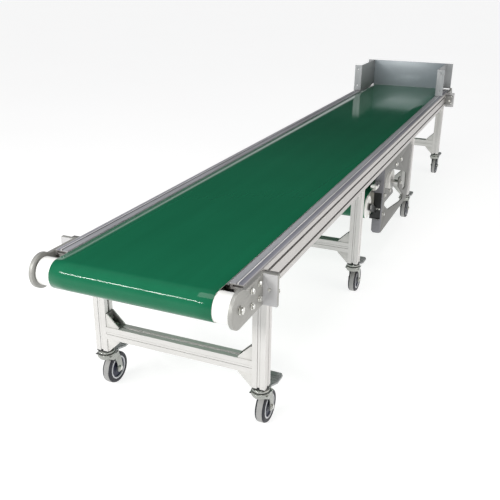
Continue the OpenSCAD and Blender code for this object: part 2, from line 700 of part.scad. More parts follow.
// Round knob and screw that pull one take-up arm forwards
module tension_knobs() {
    both_sides() union() {
        ycyl(16, -drive_front - 60, -drive_front - 3, screw_at, tension_z);
        ycyl(12, -drive_front - 3 - eps, -drive_front, screw_at, tension_z);
        ycyl(5, -drive_front - eps, arm_front + 29, screw_at, tension_z);
    }
}
box_x = -plate_in;
box_size = [70, 110, 46];
box_y = 60;
box_z = drive_z0 + 8;
module terminal_box() {
    color([0.2, 0.2, 0.2]) difference() {
        union() {
            translate([box_x, box_y, box_z]) cube(box_size);
            translate([box_x + 3, box_y + 3, box_z + box_size[2] - eps]) cube([64, 104, 4]);
            ycyl(9, box_y + box_size[1] - eps, box_y + box_size[1] + 14, lead_x, box_z + 24);
        }
        ycyl(4.5, box_y + box_size[1] - 4, box_y + box_size[1] + 15, lead_x, box_z + 24);
    }
}
// Motor lead, clipped inside the left plate: out of the box, up to the drum shaft
lead_x = -plate_in + 14;
lead_r = 4;
lead_bend = 24;
module motor_lead() {
    lead_y1 = drum_y;
    lead_z0 = box_z + 24;
    color([0.1, 0.1, 0.1]) {
        union() {
            ycyl(lead_r, box_y + box_size[1] - 4, lead_y1 - lead_bend, lead_x, lead_z0);
            translate([lead_x, lead_y1 - lead_bend, lead_z0 + lead_bend]) rotate([0, 90, 0])
                rotate_extrude(angle = 90) translate([lead_bend, 0]) circle(r = lead_r);
            translate([lead_x, lead_y1, lead_z0 + lead_bend])
                cylinder(r = lead_r, h = drum_z - axle_d / 2 - lead_z0 - lead_bend);
        }
    }
}

// ---- end stop --------------------------------------------------------------
stop_x = rail_x0;                           // inner face of the wings
module end_stop_panel() {
    color("slategray") block([-stop_x + stop_t, stop_x - stop_t], [stop_y1 - stop_t, stop_y1],
                             [belt_height - 1.2, belt_height + stop_h]);
}
// Side wing with a flange bent outwards at each end and two feet on the rail
module end_stop_wings() {
    color("slategray") both_sides() difference() {
        union() {
            block([stop_x - stop_t, stop_x], [stop_y0, stop_y1],
                  [stop_foot_z, belt_height + stop_h]);
            for (y = [stop_y0, stop_y1 - stop_t])
                block([stop_x - stop_t, rail_x1], [y, y + stop_t],
                      [stop_foot_z, belt_height + stop_h]);
            for (y = stop_foot_y)
                block([stop_x - eps, rail_x1], [y - 14, y + 12],
                      [stop_foot_z, stop_foot_z + stop_t]);
        }
        for (y = stop_foot_y)
            translate([rail_x0 + ridge_u, y, stop_foot_z - 1]) cylinder(r = 3.2, h = stop_t + 2);
        for (z = [34, 132])
            ycyl(3.2, stop_y0 - 1, stop_y0 + stop_t + 1, stop_x + 20, belt_height + z);
    }
}
module end_stop_screws() {
    both_sides() for (y = stop_foot_y) union() {
        translate([rail_x0 + ridge_u, y, stop_foot_z + stop_t]) cylinder(r = 5, h = 4, $fn = 6);
        translate([rail_x0 + ridge_u, y, rail_top - 6])
            cylinder(r = 3, h = stop_foot_z + stop_t - rail_top + 6 + eps);
    }
}

// ---- build -----------------------------------------------------------------
side_rail(-1);  // side_rail_left
side_rail(1);  // side_rail_right
slider_bed();
bed_crossbars();
belt();
end_roller(-1);  // near_roller
end_roller(1);  // far_roller
end_bearings(-1);  // near_roller_bearings
end_bearings(1);  // far_roller_bearings
end_roller_axles();
end_plate(-1, -1);  // end_plate_near_left
end_plate(1, -1);  // end_plate_near_right
end_plate(-1, 1);  // end_plate_far_left
end_plate(1, 1);  // end_plate_far_right
end_plate_bolts();
take_up_screws();
take_up_anchors();
legs();
crossbars();
gussets();
frame_screws();
caster_tops();
for (id = caster_ids) {
    caster_fork(id);
    caster_wheel(id);
    brake_pedal(id);
}
drive_plate(-1);  // drive_plate_left
drive_plate(1);  // drive_plate_right
drum_shell();
drum_shaft();
motor_lead();
color("silver") bend(snub_y[0], snub_z, snub_r, snub_half);  // snub_roller_front
color("silver") bend(snub_y[1], snub_z, snub_r, snub_half);  // snub_roller_rear
color("whitesmoke") bend(takeup_y, takeup_z, takeup_r, bend_half);  // take_up_roller
bend_roller_axles();
take_up_arms();
drive_bolts();
terminal_box();
end_stop_panel();
end_stop_wings();
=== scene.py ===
import bpy, bmesh, json, math
from mathutils import Matrix, Vector


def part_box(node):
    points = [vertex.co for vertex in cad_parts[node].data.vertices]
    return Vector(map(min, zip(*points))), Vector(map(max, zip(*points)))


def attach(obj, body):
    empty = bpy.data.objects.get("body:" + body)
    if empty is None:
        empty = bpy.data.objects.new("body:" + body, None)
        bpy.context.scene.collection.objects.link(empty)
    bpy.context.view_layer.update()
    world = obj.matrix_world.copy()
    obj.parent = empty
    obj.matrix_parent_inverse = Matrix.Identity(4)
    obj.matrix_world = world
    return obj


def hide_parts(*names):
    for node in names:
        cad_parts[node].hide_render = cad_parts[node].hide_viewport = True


# The looks of the belt conveyor section: detailed pieces in place of most CAD nodes, materials
# on all of them, a pale studio and the camera of the photograph. Nothing depends on the pose.
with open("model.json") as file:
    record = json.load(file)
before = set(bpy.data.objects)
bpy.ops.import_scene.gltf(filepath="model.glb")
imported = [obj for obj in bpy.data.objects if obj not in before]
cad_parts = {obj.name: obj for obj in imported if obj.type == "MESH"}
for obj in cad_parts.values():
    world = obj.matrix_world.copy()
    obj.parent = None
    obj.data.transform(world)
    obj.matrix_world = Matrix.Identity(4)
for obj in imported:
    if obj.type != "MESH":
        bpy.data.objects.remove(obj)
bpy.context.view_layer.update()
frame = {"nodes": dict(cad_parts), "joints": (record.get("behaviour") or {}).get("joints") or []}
nodes = frame["nodes"]
scene = bpy.context.scene

# Metres throughout. X is to the right, Y runs along the belt to the far end, Z is up.
# s and e are signs: -1 or 1 for a side, an end or a direction.
PI = math.pi
PIVOT = {j["name"]: j["pos_m"] for j in frame["joints"]}
CASTERS = [f"{side}_{row}" for side in ("left", "right") for row in "1234"]
TRESTLES = sorted({round(PIVOT[f"caster_swivel_right_{row}"][1], 4) for row in "1234"})
BAR_TOP = 0.222            # top of the crossbars
BRACKETS_FROM = 0.3        # above it gussets and screws belong to the brackets of the rails


# ---------------------------------------------------------------- materials
def shader(name):
    """A new material with one Principled shader."""
    m = bpy.data.materials.new(name)
    m.use_nodes = True
    nt = m.node_tree
    nt.nodes.clear()
    out = nt.nodes.new("ShaderNodeOutputMaterial")
    bsdf = nt.nodes.new("ShaderNodeBsdfPrincipled")
    nt.links.new(bsdf.outputs[0], out.inputs[0])
    return m, nt, bsdf


def noise(nt, scale, stretch=(1, 1, 1), detail=4.0, rough=0.55, w=0.0):
    """Noise in the object's coordinates. w moves it, so that two noises differ."""
    tc = nt.nodes.new("ShaderNodeTexCoord")
    mp = nt.nodes.new("ShaderNodeMapping")
    mp.inputs["Scale"].default_value = stretch
    mp.inputs["Location"].default_value = (w, w * 0.7, w * 1.3)
    nz = nt.nodes.new("ShaderNodeTexNoise")
    nz.inputs["Scale"].default_value = scale
    nz.inputs["Detail"].default_value = detail
    nz.inputs["Roughness"].default_value = rough
    nt.links.new(tc.outputs["Object"], mp.inputs["Vector"])
    nt.links.new(mp.outputs["Vector"], nz.inputs["Vector"])
    return nz.outputs["Fac"]


def ramp(nt, fac, stops):
    """Colour ramp with stops of (position, colour or grey)."""
    r = nt.nodes.new("ShaderNodeValToRGB")
    while len(r.color_ramp.elements) < len(stops):
        r.color_ramp.elements.new(0.5)
    for e, (position, c) in zip(r.color_ramp.elements, stops):
        e.position = position
        e.color = (*c, 1) if isinstance(c, tuple) else (c, c, c, 1)
    nt.links.new(fac, r.inputs["Fac"])
    return r.outputs["Color"]


def math_node(nt, op, a, b=None, clamp=False):
    """A maths node of numbers or sockets."""
    n = nt.nodes.new("ShaderNodeMath")
    n.operation = op
    n.use_clamp = clamp
    for i, v in enumerate((a, b)):
        if v is None:
            continue
        if isinstance(v, (int, float)):
            n.inputs[i].default_value = v
        else:
            nt.links.new(v, n.inputs[i])
    return n.outputs[0]


def shares(nt, a, b, share):
    """A share of a with the rest of b."""
    return math_node(nt, "ADD", math_node(nt, "MULTIPLY", a, share),
                     math_node(nt, "MULTIPLY", b, 1 - share))


def mix(nt, fac, a, b, mode="MIX"):
    """Colour b over colour a, by a factor."""
    n = nt.nodes.new("ShaderNodeMix")
    n.data_type = "RGBA"
    n.blend_type = mode
    for key, v in (("Factor", fac), ("A", a), ("B", b)):
        s = [i for i in n.inputs if i.name == key and (i.type == "RGBA" or key == "Factor")][0]
        if isinstance(v, (int, float)):
            s.default_value = v
        elif isinstance(v, tuple):
            s.default_value = (*v, 1)
        else:
            nt.links.new(v, s)
    return [o for o in n.outputs if o.type == "RGBA"][0]


def bump(nt, bsdf, height, strength, distance):
    """Fine relief in the shading only."""
    b = nt.nodes.new("ShaderNodeBump")
    b.inputs["Strength"].default_value = strength
    b.inputs["Distance"].default_value = distance
    nt.links.new(height, b.inputs["Height"])
    nt.links.new(b.outputs[0], bsdf.inputs["Normal"])


WEAR_RADIUS = 0.0016       # how far from an edge the wear reaches


def near_edge(nt):
    """1 beside a sharp edge, 0 away from it: the rounded normal leaves the true one there."""
    true = nt.nodes.new("ShaderNodeNewGeometry")
    rounded = nt.nodes.new("ShaderNodeBevel")
    rounded.inputs["Radius"].default_value = WEAR_RADIUS
    dot = nt.nodes.new("ShaderNodeVectorMath")
    dot.operation = "DOT_PRODUCT"
    nt.links.new(true.outputs["Normal"], dot.inputs[0])
    nt.links.new(rounded.outputs[0], dot.inputs[1])
    return ramp(nt, dot.outputs["Value"], [(0.86, 1.0), (0.985, 0.0)])


def finish(name, lo, hi, rough=(0.3, 0.4), metallic=0.0, patch=6.0, grain=300.0,
           stretch=(1, 1, 1), bump_mm=0.02, strength=0.3, dirt=None, wear=None, **sockets):
    """A surface with large colour patches, and fine grain in colour, roughness and relief.

    lo and hi are the darkest and lightest colour, patch and grain the scales of the two noises.
    dirt is (colour, scale, amount) and wear, on the edges, is (colour, amount).
    """
    m, nt, b = shader(name)
    big = noise(nt, patch, detail=5, w=1.7)
    fine = noise(nt, grain, stretch, detail=3)
    both = shares(nt, big, fine, 0.65)
    col = ramp(nt, both, [(0.36, lo), (0.64, hi)])
    if dirt:
        colour, scale, amount = dirt
        spots = noise(nt, scale, detail=8, rough=0.7, w=4.2)
        col = mix(nt, ramp(nt, spots, [(0.60, 0.0), (0.74, amount)]), col, colour)
    if wear:
        colour, amount = wear
        patchy = noise(nt, 90, detail=6, rough=0.7, w=7.7)
        worn = ramp(nt, patchy, [(0.42, 0.0), (0.62, amount)])
        col = mix(nt, math_node(nt, "MULTIPLY", near_edge(nt), worn), col, colour)
    nt.links.new(col, b.inputs["Base Color"])
    nt.links.new(ramp(nt, both, [(0.35, rough[0]), (0.65, rough[1])]), b.inputs["Roughness"])
    b.inputs["Metallic"].default_value = metallic
    bump(nt, b, fine, strength, bump_mm / 1000)
    for key, value in sockets.items():
        b.inputs[key.replace("_", " ")].default_value = value
    return m


def belt_material():
    """Smooth green cover with faint lengthwise streaks, scuffs and a slow wave."""
    dark, light, scuffed = (0.0062, 0.112, 0.052), (0.0090, 0.142, 0.068), (0.10, 0.26, 0.18)
    m, nt, b = shader("belt_green")
    big = noise(nt, 1.6, detail=5, w=0.9)
    streak = noise(nt, 22, (1.0, 0.05, 1.0), detail=6, w=2.4)
    both = shares(nt, big, streak, 0.6)
    col = ramp(nt, both, [(0.30, dark), (0.70, light)])
    scuff = noise(nt, 9, (1.0, 0.35, 1.0), detail=10, rough=0.75, w=6.1)
    col = mix(nt, ramp(nt, scuff, [(0.66, 0.0), (0.80, 0.10)]), col, scuffed)
    nt.links.new(col, b.inputs["Base Color"])
    nt.links.new(ramp(nt, both, [(0.35, 0.055), (0.65, 0.105)]), b.inputs["Roughness"])
    grain = noise(nt, 900, detail=2)
    wave = noise(nt, 5, (1.0, 0.5, 1.0), detail=2, w=3.3)
    height = math_node(nt, "ADD", math_node(nt, "MULTIPLY", grain, 0.03), wave)
    bump(nt, b, height, 0.06, 0.0010)
    for key, value in (("IOR", 1.47), ("Specular IOR Level", 0.22), ("Coat Weight", 0.03),
                       ("Coat Roughness", 0.08)):
        b.inputs[key].default_value = value
    return m


def weave_material(name, lo, hi):
    """Woven cloth: bands along X times bands along Y, one each 1.2 mm."""
    pitch = 0.0012
    m, nt, b = shader(name)
    tc = nt.nodes.new("ShaderNodeTexCoord")
    bands = []
    for direction in "XY":
        w = nt.nodes.new("ShaderNodeTexWave")
        w.wave_type = "BANDS"
        w.bands_direction = direction
        w.inputs["Scale"].default_value = 1 / pitch / 20 * 3.2
        w.inputs["Distortion"].default_value = 0.4
        nt.links.new(tc.outputs["Object"], w.inputs["Vector"])
        bands.append(w.outputs["Fac"])
    fac = math_node(nt, "MULTIPLY", *bands)
    nt.links.new(ramp(nt, fac, [(0.0, lo), (1.0, hi)]), b.inputs["Base Color"])
    b.inputs["Roughness"].default_value = 0.8
    bump(nt, b, fac, 0.4, 0.0002)
    return m


# Stretch of the grain: extrusion or rolling lines along one axis.
ALONG_X, ALONG_Y, ALONG_Z = (0.02, 1, 1), (1, 0.02, 1), (1, 1, 0.02)
MAT = {
    "rail": finish("rail_anodised", (0.46, 0.445, 0.43), (0.55, 0.535, 0.52), rough=(0.30, 0.42),
                   metallic=0.62, patch=3, grain=900, stretch=ALONG_Y, strength=0.35,
                   dirt=((0.30, 0.29, 0.28), 14, 0.22)),
    "leg": finish("leg_anodised", (0.60, 0.59, 0.575), (0.70, 0.69, 0.675), rough=(0.34, 0.46),
                  metallic=0.35, patch=4, grain=900, stretch=ALONG_Z,
                  dirt=((0.45, 0.42, 0.38), 12, 0.18)),
    "bar": finish("bar_anodised", (0.60, 0.59, 0.575), (0.70, 0.69, 0.675), rough=(0.34, 0.46),
                  metallic=0.35, patch=4, grain=900, stretch=ALONG_X,
                  dirt=((0.45, 0.42, 0.38), 12, 0.18)),
    "bed": finish("bed_zinc", (0.50, 0.51, 0.52), (0.60, 0.61, 0.62), rough=(0.35, 0.5),
                  metallic=0.8, patch=30, grain=120, bump_mm=0.01, strength=0.2),
    "belt": belt_material(),
    "belt_back": weave_material("belt_back", (0.62, 0.62, 0.58), (0.80, 0.80, 0.76)),
    "white": finish("roller_white", (0.86, 0.86, 0.84), (0.92, 0.92, 0.90), rough=(0.28, 0.38),
                    patch=8, grain=200, bump_mm=0.01, strength=0.15,
                    dirt=((0.50, 0.48, 0.42), 20, 0.16)),
    "cast": finish("end_plate_grey", (0.30, 0.30, 0.285), (0.37, 0.37, 0.35), rough=(0.42, 0.56),
                   metallic=0.35, patch=12, grain=700, bump_mm=0.05, strength=0.4,
                   dirt=((0.20, 0.19, 0.18), 25, 0.3), wear=((0.62, 0.62, 0.60), 0.7)),
    "gusset": finish("gusset_cast", (0.56, 0.553, 0.535), (0.66, 0.652, 0.632),
                     rough=(0.42, 0.55), metallic=0.2, patch=20, grain=900, bump_mm=0.06,
                     strength=0.4, wear=((0.86, 0.86, 0.85), 0.6)),
    "zinc": finish("zinc_bolt", (0.66, 0.66, 0.63), (0.80, 0.80, 0.76), rough=(0.18, 0.30),
                   metallic=1.0, patch=60, grain=500, bump_mm=0.01, strength=0.2),
    "steel": finish("turned_steel", (0.52, 0.52, 0.51), (0.64, 0.64, 0.62), rough=(0.2, 0.32),
                    metallic=1.0, patch=12, grain=1500, bump_mm=0.01, strength=0.25),
    "fork": finish("caster_zinc", (0.31, 0.32, 0.30), (0.44, 0.45, 0.42), rough=(0.20, 0.34),
                   metallic=0.85, patch=40, grain=500, bump_mm=0.015, strength=0.25,
                   dirt=((0.24, 0.23, 0.20), 60, 0.4)),
    "tread": finish("wheel_tread", (0.30, 0.30, 0.30), (0.40, 0.40, 0.39), rough=(0.55, 0.7),
                    patch=40, grain=700, bump_mm=0.08, strength=0.5,
                    dirt=((0.14, 0.13, 0.12), 70, 0.5)),
    "tyre": finish("wheel_side", (0.024, 0.025, 0.031), (0.045, 0.047, 0.056), rough=(0.4, 0.55),
                   patch=40, grain=700, bump_mm=0.04, strength=0.4,
                   dirt=((0.16, 0.15, 0.14), 60, 0.4), Specular_IOR_Level=0.25),
    "ring": finish("wheel_ring", (0.52, 0.53, 0.56), (0.66, 0.67, 0.70), rough=(0.3, 0.42),
                   metallic=0.2, patch=40, grain=500),
    "hub": finish("wheel_hub", (0.022, 0.026, 0.046), (0.040, 0.046, 0.076), rough=(0.3, 0.42),
                  patch=40, grain=500, bump_mm=0.03, Specular_IOR_Level=0.3),
    "pedal": finish("pedal_steel", (0.34, 0.35, 0.36), (0.46, 0.47, 0.48), rough=(0.34, 0.48),
                    metallic=0.25, patch=40, grain=500, bump_mm=0.03,
                    dirt=((0.18, 0.17, 0.16), 70, 0.4)),
    "drive": finish("drive_paint", (0.125, 0.125, 0.117), (0.160, 0.160, 0.150),
                    rough=(0.42, 0.54), metallic=0.1, patch=8, grain=800, bump_mm=0.05,
                    strength=0.35, dirt=((0.20, 0.20, 0.19), 14, 0.20),
                    wear=((0.45, 0.45, 0.44), 0.7)),
    # lighter, cooler copy of the drive paint for the flange faces that look along the belt:
    # painted light on the same plate, while its dirt and wear are real
    "drive_flange_painted_light": finish("drive_front", (0.205, 0.205, 0.225), (0.250, 0.250, 0.272),
                         rough=(0.42, 0.54), metallic=0.1, patch=8, grain=800, bump_mm=0.05,
                         strength=0.35, dirt=((0.14, 0.14, 0.14), 18, 0.25),
                         wear=((0.5, 0.5, 0.5), 0.7)),
    "black": finish("black_cast", (0.010, 0.011, 0.011), (0.022, 0.023, 0.023), rough=(0.36, 0.5),
                    patch=30, grain=700, bump_mm=0.06, strength=0.4),
    # lighter copy of the end plates' grey for their flange faces that look along the belt: painted
    # light on the same casting, while its dirt is real
    "flange": finish("end_flange_painted_light", (0.46, 0.46, 0.465), (0.54, 0.54, 0.545), rough=(0.42, 0.56),
                     metallic=0.25, patch=12, grain=700, bump_mm=0.05, strength=0.4,
                     dirt=((0.30, 0.29, 0.28), 25, 0.25)),
    "anchor": finish("anchor_grey", (0.20, 0.20, 0.195), (0.26, 0.26, 0.25), rough=(0.40, 0.52),
                     metallic=0.4, patch=14, grain=700, bump_mm=0.05, strength=0.4),
    # dark copy of the gusset for the faces inside its pockets: painted shade where the light
    # doesn't reach
    "inside": finish("gusset_pocket_painted_shade", (0.10, 0.098, 0.092), (0.15, 0.147, 0.14), rough=(0.5, 0.62),
                     metallic=0.3, patch=20, grain=700, bump_mm=0.05, strength=0.4),
    "bearing": finish("bearing_housing", (0.16, 0.16, 0.16), (0.24, 0.24, 0.24),
                      rough=(0.3, 0.45), metallic=0.9, patch=30, grain=500),
    "drum": finish("drum_lagging", (0.70, 0.70, 0.68), (0.80, 0.80, 0.78), rough=(0.5, 0.62),
                   patch=20, grain=400, bump_mm=0.05, strength=0.4),
    "lead": finish("lead_sheath", (0.012, 0.012, 0.012), (0.022, 0.022, 0.022), rough=(0.5, 0.62),
                   patch=40, grain=600),
    "box": finish("box_plastic", (0.030, 0.030, 0.033), (0.046, 0.046, 0.050), rough=(0.45, 0.58),
                  patch=20, grain=900, bump_mm=0.05, strength=0.5),
    "stop": finish("stop_paint", (0.285, 0.325, 0.355), (0.34, 0.385, 0.415), rough=(0.26, 0.38),
                   metallic=0.1, patch=5, grain=800, bump_mm=0.04,
                   dirt=((0.36, 0.40, 0.42), 7, 0.35)),
    "wing": finish("wing_paint", (0.27, 0.284, 0.292), (0.33, 0.346, 0.356), rough=(0.32, 0.44),
                   metallic=0.1, patch=5, grain=800, bump_mm=0.04,
                   dirt=((0.30, 0.31, 0.31), 12, 0.3)),
}


RAIL_INNER, RAIL_WIDTH = 0.235, 0.040
RAIL_TOP = 0.5139          # above it a point is on the top of the rail
RAIL_METALLIC = 0.62, 0.25  # sides and top


def paint_rail_top_light(m):
    """Tints the top of the rails with painted light: painted shade at the feet of the ridge,
    painted highlights on the crest and near the outer edge, and a cooler outer slope as a painted
    sky reflection.
    """
    nt = m.node_tree
    b = [n for n in nt.nodes if n.type == "BSDF_PRINCIPLED"][0]
    was = b.inputs["Base Color"].links[0].from_socket
    tc = nt.nodes.new("ShaderNodeTexCoord")
    sep = nt.nodes.new("ShaderNodeSeparateXYZ")
    nt.links.new(tc.outputs["Object"], sep.inputs[0])
    off_centre = math_node(nt, "ABSOLUTE", sep.outputs["X"])
    across = math_node(nt, "MULTIPLY", math_node(nt, "SUBTRACT", off_centre, RAIL_INNER),
                       1 / RAIL_WIDTH, True)
    # painted light across the rail top: the dark stops are painted groove shade, the stops above 1
    # are painted highlights, and the blue-grey stops are a painted sky reflection
    painted_light_tint = ramp(nt, across, [(0.0, (0.86, 0.90, 0.98)), (0.38, (0.80, 0.84, 0.92)),
                             (0.44, (0.26, 0.27, 0.31)), (0.47, (0.42, 0.44, 0.50)),
                             (0.51, (1.70, 1.74, 1.80)), (0.56, (1.70, 1.74, 1.80)),
                             (0.59, (0.26, 0.27, 0.32)), (0.63, (0.48, 0.50, 0.62)),
                             (0.84, (0.62, 0.64, 0.76)), (0.90, (1.15, 1.17, 1.22)),
                             (0.96, (0.60, 0.61, 0.66)), (1.0, (0.90, 0.89, 0.88))])
    top = math_node(nt, "GREATER_THAN", sep.outputs["Z"], RAIL_TOP)
    nt.links.new(mix(nt, top, was, mix(nt, 1.0, was, painted_light_tint, "MULTIPLY")), b.inputs["Base Color"])
    side_metal, top_metal = RAIL_METALLIC
    drop = math_node(nt, "MULTIPLY", top, side_metal - top_metal)
    nt.links.new(math_node(nt, "SUBTRACT", side_metal, drop), b.inputs["Metallic"])


# paints highlights, groove shade and a sky reflection into the rail tops
paint_rail_top_light(MAT["rail"])


# ---------------------------------------------------------------- mesh helpers
def put(name, bm, mats, body, replaces=(), sharp=35, at=None):
    """Makes an object of a bmesh, smooth but for its sharp edges, that rides on a body."""
    me = bpy.data.meshes.new(name)
    bm.normal_update()
    bm.to_mesh(me)
    bm.free()
    for m in mats:
        me.materials.append(MAT[m])
    me.shade_smooth()
    me.set_sharp_from_angle(angle=math.radians(sharp))
    o = bpy.data.objects.new(name, me)
    scene.collection.objects.link(o)
    if at is not None:
        o.matrix_world = at
    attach(o, body)
    if replaces:
        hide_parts(*replaces)


def welded(node):
    """The mesh of a CAD node, with its double vertices joined."""
    bm = bmesh.new()
    bm.from_mesh(nodes[node].data)
    bmesh.ops.remove_doubles(bm, verts=bm.verts, dist=2e-6)
    return bm


def refined(node, mat, body, bevel, angle=30, other=None, where=None, more=None):
    """The CAD node again, with its flat faces joined and its edges rounded.

    where(centre, normal) picks the faces that get the other material, more(bm) adds detail.
    """
    bm = welded(node)
    bmesh.ops.dissolve_limit(bm, angle_limit=math.radians(1.0), verts=bm.verts, edges=bm.edges)
    edges = [e for e in bm.edges if len(e.link_faces) == 2
             and e.calc_face_angle(0) > math.radians(angle)]
    bmesh.ops.bevel(bm, geom=edges, offset=bevel, segments=2, profile=0.5, affect="EDGES",
                    clamp_overlap=True)
    if where:
        for f in bm.faces:
            f.material_index = 1 if where(f.calc_center_median(), f.normal) else 0
    if more:
        more(bm)
    put(node + "_detail", bm, [mat] + ([other] if other else []), body, (node,))


def islands(node):
    """Lowest and highest corner of each separate solid in a CAD node."""
    bm = welded(node)
    seen, out = set(), []
    for v in bm.verts:
        if v.index in seen:
            continue
        stack, pts = [v], []
        seen.add(v.index)
        while stack:
            a = stack.pop()
            pts.append(a.co)
            for e in a.link_edges:
                b = e.other_vert(a)
                if b.index not in seen:
                    seen.add(b.index)
                    stack.append(b)
        out.append((Vector([min(p[k] for p in pts) for k in range(3)]),
                    Vector([max(p[k] for p in pts) for k in range(3)])))
    bm.free()
    return out


def lathe(bm, profile, seg=64, mat=None):
    """Turns a closed profile of (radius, x) points about the X axis.

    mat(point, next point) gives the material of a band.
    """
    rings = []
    for k in range(seg):
        a = 2 * PI * k / seg
        rings.append([bm.verts.new((x, r * math.cos(a), r * math.sin(a))) for r, x in profile])
    n = len(profile)
    for k in range(seg):
        p, q = rings[k], rings[(k + 1) % seg]
        for i in range(n):
            j = (i + 1) % n
            if profile[i][0] < 1e-9 and profile[j][0] < 1e-9:
                continue
            f = bm.faces.new((p[i], q[i], q[j], p[j]))
            if mat:
                f.material_index = mat(profile[i], profile[j])


def fuse(bm):
    """Joins what was turned at one place, with all faces outwards."""
    bmesh.ops.remove_doubles(bm, verts=bm.verts, dist=1e-7)
    bmesh.ops.recalc_face_normals(bm, faces=bm.faces)


def axis_frame(origin, axis):
    """A matrix that takes +X to the axis and 0 to the origin."""
    x = Vector(axis).normalized()
    up = Vector((0, 0, 1)) if abs(x.z) < 0.9 else Vector((0, 1, 0))
    y = up.cross(x).normalized()
    z = x.cross(y)
    m = Matrix((x, y, z)).transposed().to_4x4()
    m.translation = Vector(origin)
    return m


def moved(bm, matrix, start=0):
    """Moves the vertices from start on."""
    bm.verts.ensure_lookup_table()
    bmesh.ops.transform(bm, matrix=matrix, verts=bm.verts[start:])


def hex_bolt(bm, origin, axis, across, height, washer=None, washer_t=0.0016, turn=0.0, mi=0):
    """Chamfered hexagon head on a washer. across is the size over the flats, mi the material."""
    start, first_face = len(bm.verts), len(bm.faces)
    foot = 0.0
    if washer:
        c = 0.0003
        lathe(bm, [(0.001, 0.0), (washer - c, 0.0), (washer, c), (washer, washer_t - c),
                   (washer - c, washer_t), (0.001, washer_t)], 40)
        foot = washer_t
    flat, seg = across / 2, 48
    rim, dish, dish_depth = flat * 0.94, flat * 0.60, 0.0003
    low, high, top, mid = [], [], [], []
    for k in range(seg):
        a = 2 * PI * k / seg
        r = flat / math.cos((a % (PI / 3)) - PI / 6)
        drop = (r - flat * 0.97) * 0.55    # the chamfer cuts deeper at the corners
        ca, sa = math.cos(a + turn), math.sin(a + turn)
        low.append(bm.verts.new((foot, r * ca, r * sa)))
        high.append(bm.verts.new((foot + height - drop, r * ca, r * sa)))
        top.append(bm.verts.new((foot + height, rim * ca, rim * sa)))
        mid.append(bm.verts.new((foot + height - dish_depth, dish * ca, dish * sa)))
    for k in range(seg):
        j = (k + 1) % seg
        bm.faces.new((low[k], low[j], high[j], high[k]))
        bm.faces.new((high[k], high[j], top[j], top[k]))
        bm.faces.new((top[k], top[j], mid[j], mid[k]))
    bm.faces.new(mid)
    bm.faces.new(low[::-1])
    bm.faces.ensure_lookup_table()
    for f in bm.faces[first_face:]:
        f.material_index = mi
    moved(bm, axis_frame(origin, axis), start)


def socket_bolt(bm, origin, axis, r, height):
    """Round cap screw head with a hexagon socket."""
    start = len(bm.verts)
    seg, c = 36, r * 0.12
    turns = [2 * PI * k / seg for k in range(seg)]
    rows = [(r, 0.0), (r, height - c), (r - c, height), (r * 0.62, height)]
    rings = [[bm.verts.new((x, q * math.cos(a), q * math.sin(a))) for a in turns] for q, x in rows]
    for x in (height, height * 0.45):
        ring = []
        for a in turns:
            q = r * 0.48 / math.cos((a % (PI / 3)) - PI / 6)
            ring.append(bm.verts.new((x, q * math.cos(a), q * math.sin(a))))
        rings.append(ring)
    for a, b in zip(rings, rings[1:]):
        for k in range(seg):
            j = (k + 1) % seg
            bm.faces.new((a[k], a[j], b[j], b[k]))
    bm.faces.new(rings[-1])
    bm.faces.new(rings[0][::-1])
    moved(bm, axis_frame(origin, axis), start)


def brick(bm, centre, size):
    """A plain box, with its centre and its three sizes."""
    verts = bmesh.ops.create_cube(bm, size=1)["verts"]
    bmesh.ops.transform(bm, matrix=Matrix.Translation(centre) @ Matrix.Diagonal((*size, 1)),
                        verts=verts)


def rod(bm, a, b, r):
    """A round bar from a to b with chamfered ends."""
    start, chamfer = len(bm.verts), 0.0006
    a, b = Vector(a), Vector(b)
    length = (b - a).length
    lathe(bm, [(1e-5, 0), (r - chamfer, 0), (r, chamfer), (r, length - chamfer),
               (r - chamfer, length), (1e-5, length)], 24)
    moved(bm, axis_frame(a, b - a), start)


def mid_of(box):
    """Middle of a (lowest, highest) pair of corners."""
    return (box[0] + box[1]) / 2


# ---------------------------------------------------------------- belt
BELT_T, BELT_AIR = 0.002, 0.0003           # thickness, and the gap to the rollers
ARC_STEP = math.radians(4)


def tangent_path(circles):
    """Rows of (y, z, normal) round a loop of (y, z, radius, turn) circles."""
    n = len(circles)
    heading = []
    for i in range(n):
        a, b = circles[i], circles[(i + 1) % n]
        d = (b[0] - a[0], b[1] - a[1])
        lean = math.asin((b[3] * b[2] - a[3] * a[2]) / math.hypot(*d))
        heading.append(math.atan2(d[1], d[0]) - lean)
    rows = []

    def straight(b, step):
        a = rows[-1]
        m = int(math.hypot(b[0] - a[0], b[1] - a[1]) / step)
        for k in range(1, m):
            f = k / m
            rows.append((a[0] + (b[0] - a[0]) * f, a[1] + (b[1] - a[1]) * f, b[2]))

    for i, (y, z, r, turn) in enumerate(circles):
        h0 = heading[i - 1]
        sweep = turn * ((turn * (heading[i] - h0)) % (2 * PI))
        steps = max(3, math.ceil(abs(sweep) / ARC_STEP))
        arc = []
        for k in range(steps + 1):
            h = h0 + sweep * k / steps
            normal = (-math.sin(h), math.cos(h))
            arc.append((y - turn * r * normal[0], z - turn * r * normal[1], normal))
        if rows:
            straight(arc[0], 0.09)
        rows += arc
    straight(rows[0], 0.06)
    return rows


